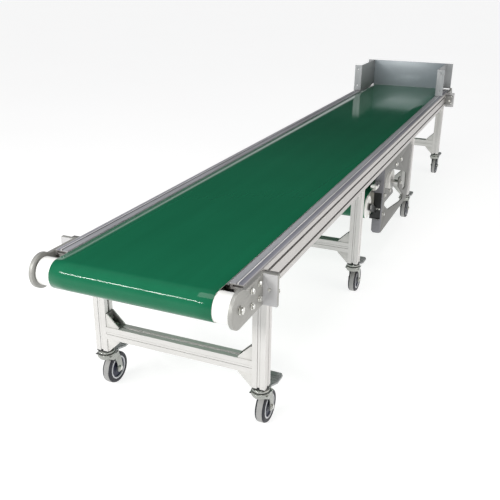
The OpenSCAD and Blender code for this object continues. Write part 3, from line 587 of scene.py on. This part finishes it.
def belt():
    """The closed belt: green on the carrying side, woven on its edges and inside."""
    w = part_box("belt")[1].x

    def roller(joint, node, turn):
        lo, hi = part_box(node)
        return (PIVOT[joint][1], PIVOT[joint][2], (hi.y - lo.y) / 2 + BELT_AIR + BELT_T / 2, turn)

    path = tangent_path([
        roller("near_roller_spin", "near_roller", 1),
        roller("snub_front_spin", "snub_roller_front", -1),
        roller("take_up_spin", "take_up_roller", 1),
        roller("drum_spin", "drum_shell", 1),
        roller("snub_rear_spin", "snub_roller_rear", -1),
        roller("far_roller_spin", "far_roller", 1)])
    # cross-section: x, and height towards the inside of the loop, with softened edges
    h, soft, across = BELT_T / 2, 0.0006, 10
    xs = [-w + soft + (2 * w - 2 * soft) * k / across for k in range(across + 1)]
    section = ([(-w, h * 0.4), (-w, -h * 0.5)] + [(x, -h) for x in xs]
               + [(w, -h * 0.5), (w, h * 0.4)] + [(x, h) for x in reversed(xs)])
    bm = bmesh.new()
    rings = [[bm.verts.new((x, y + o * normal[0], z + o * normal[1])) for x, o in section]
             for y, z, normal in path]
    for p, q in zip(rings, rings[1:] + rings[:1]):
        for k, (x, o) in enumerate(section):
            j = (k + 1) % len(section)
            f = bm.faces.new((p[k], p[j], q[j], q[k]))
            on_edge = abs(abs(x) - w) < 1e-6 and abs(abs(section[j][0]) - w) < 1e-6
            f.material_index = 0 if min(o, section[j][1]) < -h * 0.4 and not on_edge else 1
    bmesh.ops.recalc_face_normals(bm, faces=bm.faces)
    put("belt_loop", bm, ["belt", "belt_back"], "frame", ("belt",), 50)


belt()


# ---------------------------------------------------------------- rollers
def centred(node):
    """Moves what was turned about X = 0 onto the axis of a CAD node."""
    mid = mid_of(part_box(node))
    return Matrix.Translation((0, mid.y, mid.z))


def roller_piece(node, name, body, mat, bore):
    """A tube with recessed end discs and rounded rims."""
    lo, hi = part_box(node)
    r, half = (hi.z - lo.z) / 2, hi.x
    c, neck, groove = 0.0018, 0.002, 0.001
    disc = -half + neck
    end = [(bore, disc), (r * 0.60, disc), (r * 0.62, disc - groove), (r * 0.86, disc - groove),
           (r * 0.88, -half), (r - c, -half), (r - c * 0.3, -half + c * 0.3), (r, -half + c)]
    bm = bmesh.new()
    lathe(bm, end + [(q, -x) for q, x in reversed(end)], 128)
    fuse(bm)
    moved(bm, centred(node))
    put(name, bm, [mat], body, (node,), 30)


AXLE_BORE = 0.01005        # for the 20 mm axles
for end in ("near", "far"):
    roller_piece(f"{end}_roller", f"{end}_roller_tube", f"{end}_roller", "white",
                 0.0212)
    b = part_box(f"{end}_roller_bearings")
    bm = bmesh.new()
    for s in (-1, 1):
        x0, x1 = sorted((s * b[1].x, s * (b[1].x - 0.012)))
        lathe(bm, [(AXLE_BORE, x0), (0.0135, x0), (0.0138, x0 + 0.0008), (0.0182, x0 + 0.0008),
                   (0.0185, x0), (0.0205, x0), (0.021, x0 + 0.0005), (0.021, x1 - 0.0005),
                   (0.0205, x1), (0.0185, x1), (0.0182, x1 - 0.0008), (0.0138, x1 - 0.0008),
                   (0.0135, x1), (AXLE_BORE, x1)], 64)
    fuse(bm)
    moved(bm, centred(f"{end}_roller_bearings"))
    put(f"{end}_bearing_rings", bm, ["bearing"], f"{end}_roller",
        (f"{end}_roller_bearings",), 30)
for node, name, body, mat, slot in (
        ("take_up_roller", "take_up_roller_tube", "take_up", "white", "roller_white"),
        ("snub_roller_front", "snub_front_tube", "snub_front", "steel", "roller_steel"),
        ("snub_roller_rear", "snub_rear_tube", "snub_rear", "steel", "roller_steel"),
        ("drum_shell", "drum_tube", "drum", "drum", "drum_rubber")):
    roller_piece(node, name, body, mat, AXLE_BORE)


# ---------------------------------------------------------------- bolts
# Hexagon heads: over the flats, height, washer radius, washer thickness.
AXLE_HEAD = (0.017, 0.007, 0.011, 0.002)
PLATE_HEAD = (0.013, 0.0054, 0.009, 0.0016)
DRIVE_AXLE_HEAD = (0.0135, 0.005, 0.011, 0.002)
DRIVE_HEAD = (0.0135, 0.0054, 0.009, 0.0016)
NUT, NUT_T = 0.014, 0.004                  # the slot nuts' side and thickness
INTO_HEAD = 0.0005                         # how far a shank reaches into its head


def slot_nut(bm, at, axis):
    """A square nut that lies across an axis."""
    brick(bm, at, [NUT_T if abs(v) > 0.5 else NUT for v in axis])


def bolt_span(lo, hi):
    """Middle, side, and inner and outer distance from X = 0 of a solid that lies along X."""
    c = mid_of((lo, hi))
    return (c, 1, lo.x, hi.x) if c.x > 0 else (c, -1, -hi.x, -lo.x)


def plate_bolts():
    """Bolts of the end plates: the axle's, and four in the rail slots with their nuts."""
    bm = bmesh.new()
    for lo, hi in islands("end_plate_bolts"):
        c, s, _, out = bolt_span(lo, hi)
        axle = min(hi.z - lo.z, hi.y - lo.y) > 0.0185
        head, length, r, turn = ((AXLE_HEAD, 0.020, 0.005, 0.35) if axle else
                                 (PLATE_HEAD, 0.0175, 0.004, 0.2 + 3 * c.y))
        seat = out - head[1] - head[3]
        hex_bolt(bm, (s * seat, c.y, c.z), (s, 0, 0), *head, turn)
        rod(bm, (s * (seat - length), c.y, c.z), (s * (seat + INTO_HEAD), c.y, c.z), r)
        if not axle:
            brick(bm, (s * (seat - 0.016), c.y, c.z), (NUT_T, 0.016, NUT))
    put("end_plate_hex_bolts", bm, ["zinc"], "frame", ("end_plate_bolts",), 30)


plate_bolts()


def frame_screws():
    """Cap screws of the gussets and brackets, and the hexagon bolts of the end stop."""
    bm = bmesh.new()
    for lo, hi in islands("frame_screws"):
        d, c = hi - lo, mid_of((lo, hi))
        if lo.z > 0.5 and c.y > 1.2:        # end stop
            hex_bolt(bm, (c.x, c.y, hi.z - 0.004), (0, 0, 1), 0.0086, 0.004, turn=c.x * 7)
            rod(bm, (c.x, c.y, lo.z), (c.x, c.y, hi.z - 0.0035), 0.003)
            continue
        if c.z > BRACKETS_FROM:             # bracket: the head is below or outside
            r, height, grip, shank = 0.005, 0.004, 0.011, 0.003
            trestle = min(TRESTLES, key=lambda y: abs(y - c.y))
            s = 1 if c.y > trestle else -1
            if d.z > d.y * 0.99 and abs(c.y - trestle) > 0.030:
                axis, at = Vector((0, 0, -1)), Vector((c.x, c.y, lo.z + height))
            else:
                axis = Vector((0, s, 0))
                at = Vector((c.x, (hi.y if s > 0 else lo.y) - s * height, c.z))
        else:                               # gusset: upwards, or along the crossbar
            r, height, grip, shank = 0.0065, 0.006, 0.010, 0.004
            if d.z > d.x:
                s = 1 if c.z > 0.2 else -1
                axis = Vector((0, 0, s))
                at = Vector((c.x, c.y, (hi.z if s > 0 else lo.z) - s * height))
            else:
                s = -1 if c.x > 0 else 1
                axis = Vector((s, 0, 0))
                at = Vector(((hi.x if s > 0 else lo.x) - s * height, c.y, c.z))
        socket_bolt(bm, at, axis, r, height)
        rod(bm, at - axis * grip, at + axis * INTO_HEAD, shank)
        slot_nut(bm, at - axis * grip, axis)
    put("frame_cap_screws", bm, ["zinc"], "frame", ("frame_screws",), 30)


frame_screws()

KNOB = [(0.0005, 0.0), (0.0125, 0.0), (0.0148, 0.0012), (0.0156, 0.0036),
        (0.0160, 0.0060), (0.0160, 0.0140), (0.0152, 0.0165), (0.0150, 0.0180),
        (0.0152, 0.0195), (0.0160, 0.0220), (0.0160, 0.0500), (0.0154, 0.0535),
        (0.0138, 0.0560), (0.0122, 0.0568), (0.0120, 0.0600), (0.0005, 0.0600)]


def thread(length, turns=24, crest=0.0040, root=0.0036):
    """Profile of a screw with rings for its thread."""
    rows = [(1e-5, 0.0)]
    for k in range(turns):
        x = length * k / turns
        rows += [(crest, x + 0.0002), (root, x + length / turns * 0.5)]
    return rows + [(1e-5, length)]


def take_up_screws():
    """End take-up screws, slot screws and the turned knobs of the drive."""
    bm = bmesh.new()
    nut_y = min(lo.y for lo, hi in islands("take_up_anchors")) + 0.018
    for lo, hi in islands("take_up_screws"):
        d, (c, s, inn, out) = hi - lo, bolt_span(lo, hi)
        start = len(bm.verts)
        if d.y > 0.06 and d.z > 0.025:      # knob with its screw
            lathe(bm, KNOB, 56)
            moved(bm, axis_frame((c.x, lo.y, c.z), (0, 1, 0)), start)
            rod(bm, (c.x, lo.y + 0.0595, c.z), (c.x, hi.y, c.z), 0.005)
        elif d.y > 0.03:                    # threaded screw with a nut behind the anchor block
            e = 1 if c.y > 0 else -1
            a, b = (lo.y, hi.y) if e < 0 else (hi.y, lo.y)
            lathe(bm, thread(abs(b - a)), 28)
            moved(bm, axis_frame((c.x, a, c.z), (0, b - a, 0)), start)
            y = -e * nut_y
            hex_bolt(bm, (c.x, y, c.z), (0, -e, 0), 0.0128, 0.006, turn=y * 9)
        else:                               # button screw in a slot
            socket_bolt(bm, (s * (out - 0.004), c.y, c.z), (s, 0, 0), 0.006, 0.004)
            rod(bm, (s * inn, c.y, c.z), (s * (out - 0.0035), c.y, c.z), 0.00325)
            slot_nut(bm, (s * (inn + 0.002), c.y, c.z), (s, 0, 0))
    fuse(bm)
    put("take_up_turned_screws", bm, ["zinc"], "frame", ("take_up_screws",), 30)


take_up_screws()


def drive_bolts():
    """Bolts of the drive plates: heads outside, and nuts inside behind the rear ones."""
    bm = bmesh.new()
    for lo, hi in islands("drive_bolts"):
        c, s, inn, out = bolt_span(lo, hi)
        axle = hi.z - lo.z > 0.0195
        hex_bolt(bm, (s * (out - 0.007), c.y, c.z), (s, 0, 0),
                 *(DRIVE_AXLE_HEAD if axle else DRIVE_HEAD), 1.1 * c.y * 9)
        if not axle:
            rod(bm, (s * inn, c.y, c.z), (s * (out - 0.0065), c.y, c.z), 0.004)
            if c.y > 0:
                hex_bolt(bm, (s * (inn + 0.008), c.y, c.z), (-s, 0, 0), 0.0115, 0.006)
    put("drive_hex_bolts", bm, ["zinc"], "frame", ("drive_bolts",), 30)


drive_bolts()


# ---------------------------------------------------------------- casters
AXLE_Y, AXLE_Z = 0.038, 0.05               # of a wheel, from the king pin and the floor
PEDAL_PIN_Y, PEDAL_PIN_Z = 0.034, 0.1107
CROWN_TOP, CHEEK_FOOT = 0.1190, 0.0375
TURN_UP = Matrix.Rotation(-PI / 2, 4, "Y")  # takes the lathe's X axis to Z


def smooth(a, b, t):
    """0 below a, 1 above b, and a soft step between them."""
    t = min(1, max(0, (t - a) / (b - a)))
    return t * t * (3 - 2 * t)


def curve(rows, at):
    """Value at a height, between rows of (height, value)."""
    for (a, u), (b, v) in zip(rows, rows[1:]):
        if at <= b:
            f = max(0.0, (at - a) / (b - a))
            return u + (v - u) * f
    return rows[-1][1]


def wheel_mesh(bm, lo, hi):
    """Tread, rounded tyre side, pale ring, recessed hub disc and raised hub, turned in one."""
    r, w, hub = (hi.z - lo.z) / 2, 0.015, hi.x - mid_of((lo, hi)).x
    side = [(0.00505, hub), (0.0085, hub), (0.009, hub - 0.0005), (0.009, w - 0.0035),
            (0.016, w - 0.0045), (0.017, w - 0.0065), (0.030, w - 0.0065), (0.0315, w - 0.004),
            (0.0325, w - 0.0012), (0.0355, w - 0.0012), (0.0365, w - 0.002), (0.0385, w - 0.0018),
            (0.0405, w - 0.0004), (0.0435, w), (0.0460, w - 0.0008), (0.0479, w - 0.0026),
            (0.0491, w - 0.0048), (r - 0.0003, w - 0.0066), (r, w - 0.0076)]
    inner_radii = (r - 0.0002, 0.0368, 0.0318, 0.0095)      # of tread, tyre, ring and disc

    def mat(p, q):
        middle = (p[0] + q[0]) / 2
        return next((i for i, low in enumerate(inner_radii) if middle > low), 4)

    lathe(bm, side + [(q, -x) for q, x in reversed(side)], 72, mat)
    fuse(bm)


def shell(bm, inner, outer):
    """Faces that close two grids of vertices, one over the other, to a sheet."""
    rows, cols = len(inner) - 1, len(inner[0]) - 1
    new = []
    for i in range(rows):
        for k in range(cols):
            for g in (inner, outer):
                new.append(bm.faces.new((g[i][k], g[i][k + 1], g[i + 1][k + 1], g[i + 1][k])))
        for k in (0, cols):
            new.append(bm.faces.new((inner[i][k], outer[i][k], outer[i + 1][k], inner[i + 1][k])))
    for i in (0, rows):
        for k in range(cols):
            new.append(bm.faces.new((inner[i][k], outer[i][k], outer[i][k + 1], inner[i][k + 1])))
    bmesh.ops.recalc_face_normals(bm, faces=new)


def cheek(bm, s):
    """One bent side of the fork, from the crown down to the axle."""
    rows, cols, sheet = 30, 8, 0.0026
    inside, flare = 0.0172, 0.0075          # from the wheel's middle; wider below the crown
    front = [(0.0375, 0.0365), (0.0385, 0.0310), (0.0410, 0.0272), (0.0450, 0.0252),
             (0.052, 0.0250), (0.060, 0.0262), (0.070, 0.0250), (0.080, 0.0215), (0.090, 0.0165),
             (0.098, 0.0100), (0.105, 0.0020), (0.112, -0.0110), (0.119, -0.0200)]
    rear = [(0.0375, 0.0395), (0.0385, 0.0450), (0.0410, 0.0482), (0.0450, 0.0506),
            (0.055, 0.0512), (0.065, 0.0502), (0.075, 0.0482), (0.085, 0.0456), (0.095, 0.0410),
            (0.105, 0.0345), (0.112, 0.0285), (0.119, 0.0235)]
    grid = []
    for k in range(rows + 1):
        t = k / rows                        # the rows stand closer together at the foot
        z = CROWN_TOP - (CROWN_TOP - CHEEK_FOOT) * (1 - (1 - t) ** 1.15)
        y0, y1 = curve(front, z), curve(rear, z)
        x = inside + flare * (1 - smooth(0.02, 0.22, t))
        grid.append([(x, y0 + (y1 - y0) * u / cols, z) for u in range(cols + 1)])
    shell(bm, *([[bm.verts.new((s * (x + off), y, z)) for x, y, z in row] for row in grid]
                for off in (0.0, sheet)))


def hood(bm):
    """Pressed front of the fork that runs round below the crown from cheek to cheek."""
    around, up, sheet = 32, 7, 0.0022
    reach, top = PI / 2 * 1.22, 0.1185
    skins = []
    for off in (0.0, sheet):
        rows = []
        for i in range(around + 1):
            a = -reach + 2 * reach * i / around
            low = 0.1065 - 0.0105 * smooth(0.45, 1.0, abs(a) / reach)
            row = []
            for k in range(up + 1):
                f = k / up
                r = 0.0212 + 0.0046 * f + 0.0014 * math.sin(PI * f) + off
                row.append(bm.verts.new((r * math.sin(a), -r * math.cos(a),
                                         low + (top - low) * f)))
            rows.append(row)
        skins.append(rows)
    shell(bm, *skins)


def fork_mesh(bm):
    """Cheeks, crown, hood, axle bolt and pedal pin, about the king pin as X = Y = 0."""
    for s in (-1, 1):
        cheek(bm, s)
    start = len(bm.verts)
    # pressed crown with a rolled shoulder, bored for the king pin
    lathe(bm, [(0.00505, 0.1085), (0.0165, 0.1085), (0.0195, 0.1095), (0.0205, 0.1115),
               (0.0235, 0.1125), (0.0262, 0.1140), (0.0276, 0.1165), (0.0280, 0.1195),
               (0.0274, 0.1222), (0.0258, 0.1234), (0.0235, 0.1237), (0.00505, 0.1237)], 64)
    moved(bm, TURN_UP, start)
    bmesh.ops.recalc_face_normals(bm, faces=bm.faces)
    hood(bm)
    face = 0.0198              # outside of the cheeks at the axle
    for s in (-1, 1):
        hex_bolt(bm, (s * face, AXLE_Y, AXLE_Z), (s, 0, 0), 0.0135, 0.0038, 0.0085, 0.0012, 0.4, 1)
    rod(bm, (-face, AXLE_Y, AXLE_Z), (face, AXLE_Y, AXLE_Z), 0.005)
    rod(bm, (-face, PEDAL_PIN_Y, PEDAL_PIN_Z), (face, PEDAL_PIN_Y, PEDAL_PIN_Z), 0.003)


def wheels_and_forks():
    for cid in CASTERS:
        bm = bmesh.new()
        wheel_mesh(bm, *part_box("caster_wheel_" + cid))
        put("wheel_" + cid, bm, ["tread", "tyre", "ring", "hub", "zinc"], "wheel_" + cid,
            ("caster_wheel_" + cid,), 40,
            Matrix.Translation(PIVOT["wheel_spin_" + cid]))
        bm = bmesh.new()
        fork_mesh(bm)
        x, y, _ = PIVOT["caster_swivel_" + cid]
        put("fork_" + cid, bm, ["fork", "zinc"], "fork_" + cid,
            ("caster_fork_" + cid,), 40, Matrix.Translation((x, y, 0)))


def caster_tops():
    """Fixed races with their king pins, and the caps on the ends of the legs."""
    races, caps = bmesh.new(), bmesh.new()
    for lo, hi in islands("caster_tops"):
        c = mid_of((lo, hi))
        start = len(races.verts)
        lathe(races, [(1e-5, 0.1097), (0.0070, 0.1097), (0.0078, 0.1105), (0.0078, 0.1120),
                      (0.0050, 0.1126), (0.0050, 0.1258), (0.0160, 0.1260), (0.0180, 0.1270),
                      (0.0200, 0.1260), (0.0236, 0.1260), (0.0250, 0.1272), (0.0250, 0.1312),
                      (0.0240, 0.1326), (0.0215, 0.1338), (1e-5, 0.1340)], 56)
        moved(races, Matrix.Translation((c.x, c.y, 0)) @ TURN_UP, start)
        brick(caps, (c.x, c.y, 0.136), (0.0398, 0.0398, 0.004))
    bmesh.ops.bevel(caps, geom=caps.edges[:], offset=0.0009, segments=2, affect="EDGES")
    bmesh.ops.recalc_face_normals(races, faces=races.faces)
    put("caster_races", races, ["fork"], "frame", ("caster_tops",), 35)
    put("leg_caps", caps, ["black"], "frame", (), 35)


def brake_pedals():
    """The pedals, with three ribs across the plate, which rises by 5 in 42."""
    for cid in CASTERS:
        x, y, _ = PIVOT["caster_swivel_" + cid]

        def ribs(bm):
            for dy in (0.036, 0.046, 0.056):
                z = PEDAL_PIN_Z + 0.006 + (dy - 0.024) * 5 / 42
                brick(bm, (x, y + PEDAL_PIN_Y + dy, z), (0.044, 0.0032, 0.0028))

        refined("brake_pedal_" + cid, "pedal", "pedal_" + cid, 0.0009, angle=25,
                more=ribs)


wheels_and_forks()
caster_tops()
brake_pedals()


# ---------------------------------------------------------------- frame pieces kept or refined
def in_painted_shade_pocket(c, n):
    """True for the faces inside the pocket of a gusset at a crossbar, which get a dark copy of the
    gusset colour as painted shade.
    """
    if c.z >= BRACKETS_FROM:
        return False
    depth = min(abs(c.y - y) for y in TRESTLES)
    if abs(n.y) > 0.7:
        return depth < 0.0155
    return depth < 0.012 and not (abs(n.z) > 0.98 and abs(c.z - BAR_TOP) < 0.0005)


def lit_end_flange_faces(c, n):
    """True for the faces of an end plate's flange that look along the belt: they get a lighter
    copy of the plate's grey as painted light.
    """
    return abs(n.y) > 0.9 and abs(c.x) > 0.290


def lit_drive_flange_faces(c, n):
    """True for the outer faces of a drive plate's two flanges: they get a lighter, cooler copy of
    the plate's paint as painted light.
    """
    return abs(n.y) > 0.9 and (c.y < -0.12 or c.y > 0.42)


def block_screws():
    """Small screws in the front of the take-up blocks."""
    front = -0.1308
    bm = bmesh.new()
    for s in (-1, 1):
        for x, z in ((0.262, 0.352), (0.250, 0.352), (0.253, 0.326), (0.262, 0.247),
                     (0.250, 0.247)):
            hex_bolt(bm, (s * x, front, z), (0, -1, 0), 0.0062, 0.0030, 0.0042, 0.0006, x * 40)
    put("take_up_block_screws", bm, ["zinc"], "frame", (), 30)


def slot_covers():
    """Pale strips pressed into the outer slots of the legs and crossbars."""
    width, thick, depth = 0.0066, 0.002, 0.0018
    foot, under_rail, in_leg = 0.142, 0.476, 0.002
    bm = bmesh.new()
    for lo, hi in islands("legs"):
        c = mid_of((lo, hi))
        s = 1 if c.x > 0 else -1
        top = hi.z - in_leg
        brick(bm, ((hi.x if s > 0 else lo.x) - s * depth, c.y, (foot + top) / 2),
              (thick, width, top - foot))
        for e, y in ((-1, lo.y), (1, hi.y)):
            brick(bm, (c.x, y - e * depth, (foot + under_rail) / 2),
                  (width, thick, under_rail - foot))
    for lo, hi in islands("crossbars"):
        c = mid_of((lo, hi))
        for e, y in ((-1, lo.y), (1, hi.y)):
            brick(bm, (c.x, y - e * depth, c.z), (hi.x - lo.x - 0.001, thick, width))
    put("slot_cover_strips", bm, ["leg"], "frame", (), 35)


# the end plates' flange faces that look along the belt get a lighter copy of the grey as painted
# light
for corner in ("near_left", "near_right", "far_left", "far_right"):
    refined("end_plate_" + corner, "cast", "frame", 0.0010, other="flange",
            where=lit_end_flange_faces)
# the drive plates' flange faces get a lighter copy of the paint as painted light
for side in ("left", "right"):
    refined("drive_plate_" + side, "drive", "frame", 0.0008,
            other="drive_flange_painted_light", where=lit_drive_flange_faces)
# the faces inside the gussets' pockets get a dark colour as painted shade
refined("gussets", "gusset", "frame", 0.0008, other="inside", where=in_painted_shade_pocket)
refined("take_up_anchors", "anchor", "frame", 0.0010)
refined("take_up_arms", "black", "frame", 0.0012)
block_screws()
refined("terminal_box", "box", "frame", 0.0012)
refined("end_stop_panel", "stop", "frame", 0.0006)
refined("end_stop_wings", "wing", "frame", 0.0006)
slot_covers()
for node, mat in (("side_rail_left", "rail"), ("side_rail_right", "rail"), ("slider_bed", "bed"),
                  ("bed_crossbars", "bar"), ("end_roller_axles", "steel"), ("legs", "leg"),
                  ("crossbars", "bar"), ("drum_shaft", "steel"), ("motor_lead", "lead"),
                  ("bend_roller_axles", "steel")):
    nodes[node].data.materials.clear()
    nodes[node].data.materials.append(MAT[mat])


# ---------------------------------------------------------------- stage, light, camera
def floor_plane():
    """Pale floor that glows a little, so that it comes out white as in the photograph."""
    bm = bmesh.new()
    bmesh.ops.create_grid(bm, x_segments=1, y_segments=1, size=40)
    me = bpy.data.meshes.new("floor")
    bm.to_mesh(me)
    bm.free()
    m, nt, b = shader("floor_pale")
    grey = ramp(nt, noise(nt, 0.8, detail=3), [(0.3, 0.34), (0.7, 0.36)])
    nt.links.new(grey, b.inputs["Base Color"])
    b.inputs["Emission Color"].default_value = (1, 1, 1, 1)
    for key, value in (("Emission Strength", 0.82), ("Roughness", 0.9),
                       ("Specular IOR Level", 0.1)):
        b.inputs[key].default_value = value
    me.materials.append(m)
    floor = bpy.data.objects.new("floor", me)
    scene.collection.objects.link(floor)


def backdrop():
    """World light by height: dark toward the far end, so that the belt reflects little."""
    world = bpy.data.worlds.new("studio")
    scene.world = world
    world.use_nodes = True
    nt = world.node_tree
    nt.nodes.clear()
    out = nt.nodes.new("ShaderNodeOutputWorld")
    bg = nt.nodes.new("ShaderNodeBackground")
    tc = nt.nodes.new("ShaderNodeTexCoord")
    sep = nt.nodes.new("ShaderNodeSeparateXYZ")
    nt.links.new(tc.outputs["Generated"], sep.inputs[0])
    away = ramp(nt, sep.outputs["Z"], [(0.0, (0.85, 0.85, 0.86)), (0.095, (0.70, 0.70, 0.72)),
                                       (0.135, (0.05, 0.05, 0.06)), (0.16, (0.028, 0.029, 0.035)),
                                       (0.55, (0.035, 0.037, 0.045)), (0.80, (0.30, 0.31, 0.33)),
                                       (1.0, 0.40)])
    front = ramp(nt, sep.outputs["Z"], [(0.0, 0.85), (0.10, 0.60), (0.25, 0.36), (1.0, 0.36)])
    side = math_node(nt, "ADD", math_node(nt, "MULTIPLY", sep.outputs["Y"], 1.8), 0.45, True)
    nt.links.new(mix(nt, side, front, away), bg.inputs[0])
    bg.inputs[1].default_value = 1.0
    nt.links.new(bg.outputs[0], out.inputs[0])


def area(name, at, to, size, power, colour=(1, 1, 1)):
    """A rectangular lamp at a place, turned to another."""
    lamp = bpy.data.lights.new(name, "AREA")
    lamp.shape = "RECTANGLE"
    lamp.size, lamp.size_y = size
    lamp.energy = power
    lamp.color = colour
    o = bpy.data.objects.new(name, lamp)
    scene.collection.objects.link(o)
    o.location = at
    o.rotation_euler = (Vector(to) - Vector(at)).to_track_quat("-Z", "Y").to_euler()


# The camera, fitted to the edges of the object in the photograph.
CAMERA_AT = (0.8585, -2.9719, 1.197)
AZIMUTH, ELEVATION, ROLL = 23.07, 21.98, 0.59
LENS, SENSOR = 49.24, 36


def camera():
    """The photograph's view, tilted by the roll."""
    az, el, roll = (math.radians(v) for v in (AZIMUTH, ELEVATION, ROLL))
    forward = Vector((-math.sin(az) * math.cos(el), math.cos(az) * math.cos(el), -math.sin(el)))
    level = Vector((math.cos(az), math.sin(az), 0))
    above = level.cross(forward)
    right = level * math.cos(roll) + above * math.sin(roll)
    up = -level * math.sin(roll) + above * math.cos(roll)
    cam = bpy.data.cameras.new("camera")
    cam.lens, cam.sensor_width = LENS, SENSOR
    cam.clip_start, cam.clip_end = 0.02, 200
    o = bpy.data.objects.new("camera", cam)
    m = Matrix((right, up, -forward)).transposed().to_4x4()
    m.translation = Vector(CAMERA_AT)
    o.matrix_world = m
    scene.collection.objects.link(o)
    scene.camera = o


floor_plane()
backdrop()
area("key", (-1.8, -4.85, 2.35), (-0.1, -1.4, 0.45), (3.6, 0.14), 146, (1.0, 0.99, 0.97))
area("warm", (3.4, -0.9, 1.5), (0, 0.0, 0.35), (3.2, 1.6), 25, (1.0, 0.89, 0.77))
area("low", (2.6, -0.7, 0.30), (0.2, 0.15, 0.28), (1.2, 0.5), 13)
area("top", (0, -2.2, 3.4), (0, -1.3, 0.4), (1.8, 1.8), 44)
camera()
scene.view_settings.view_transform = "Standard"
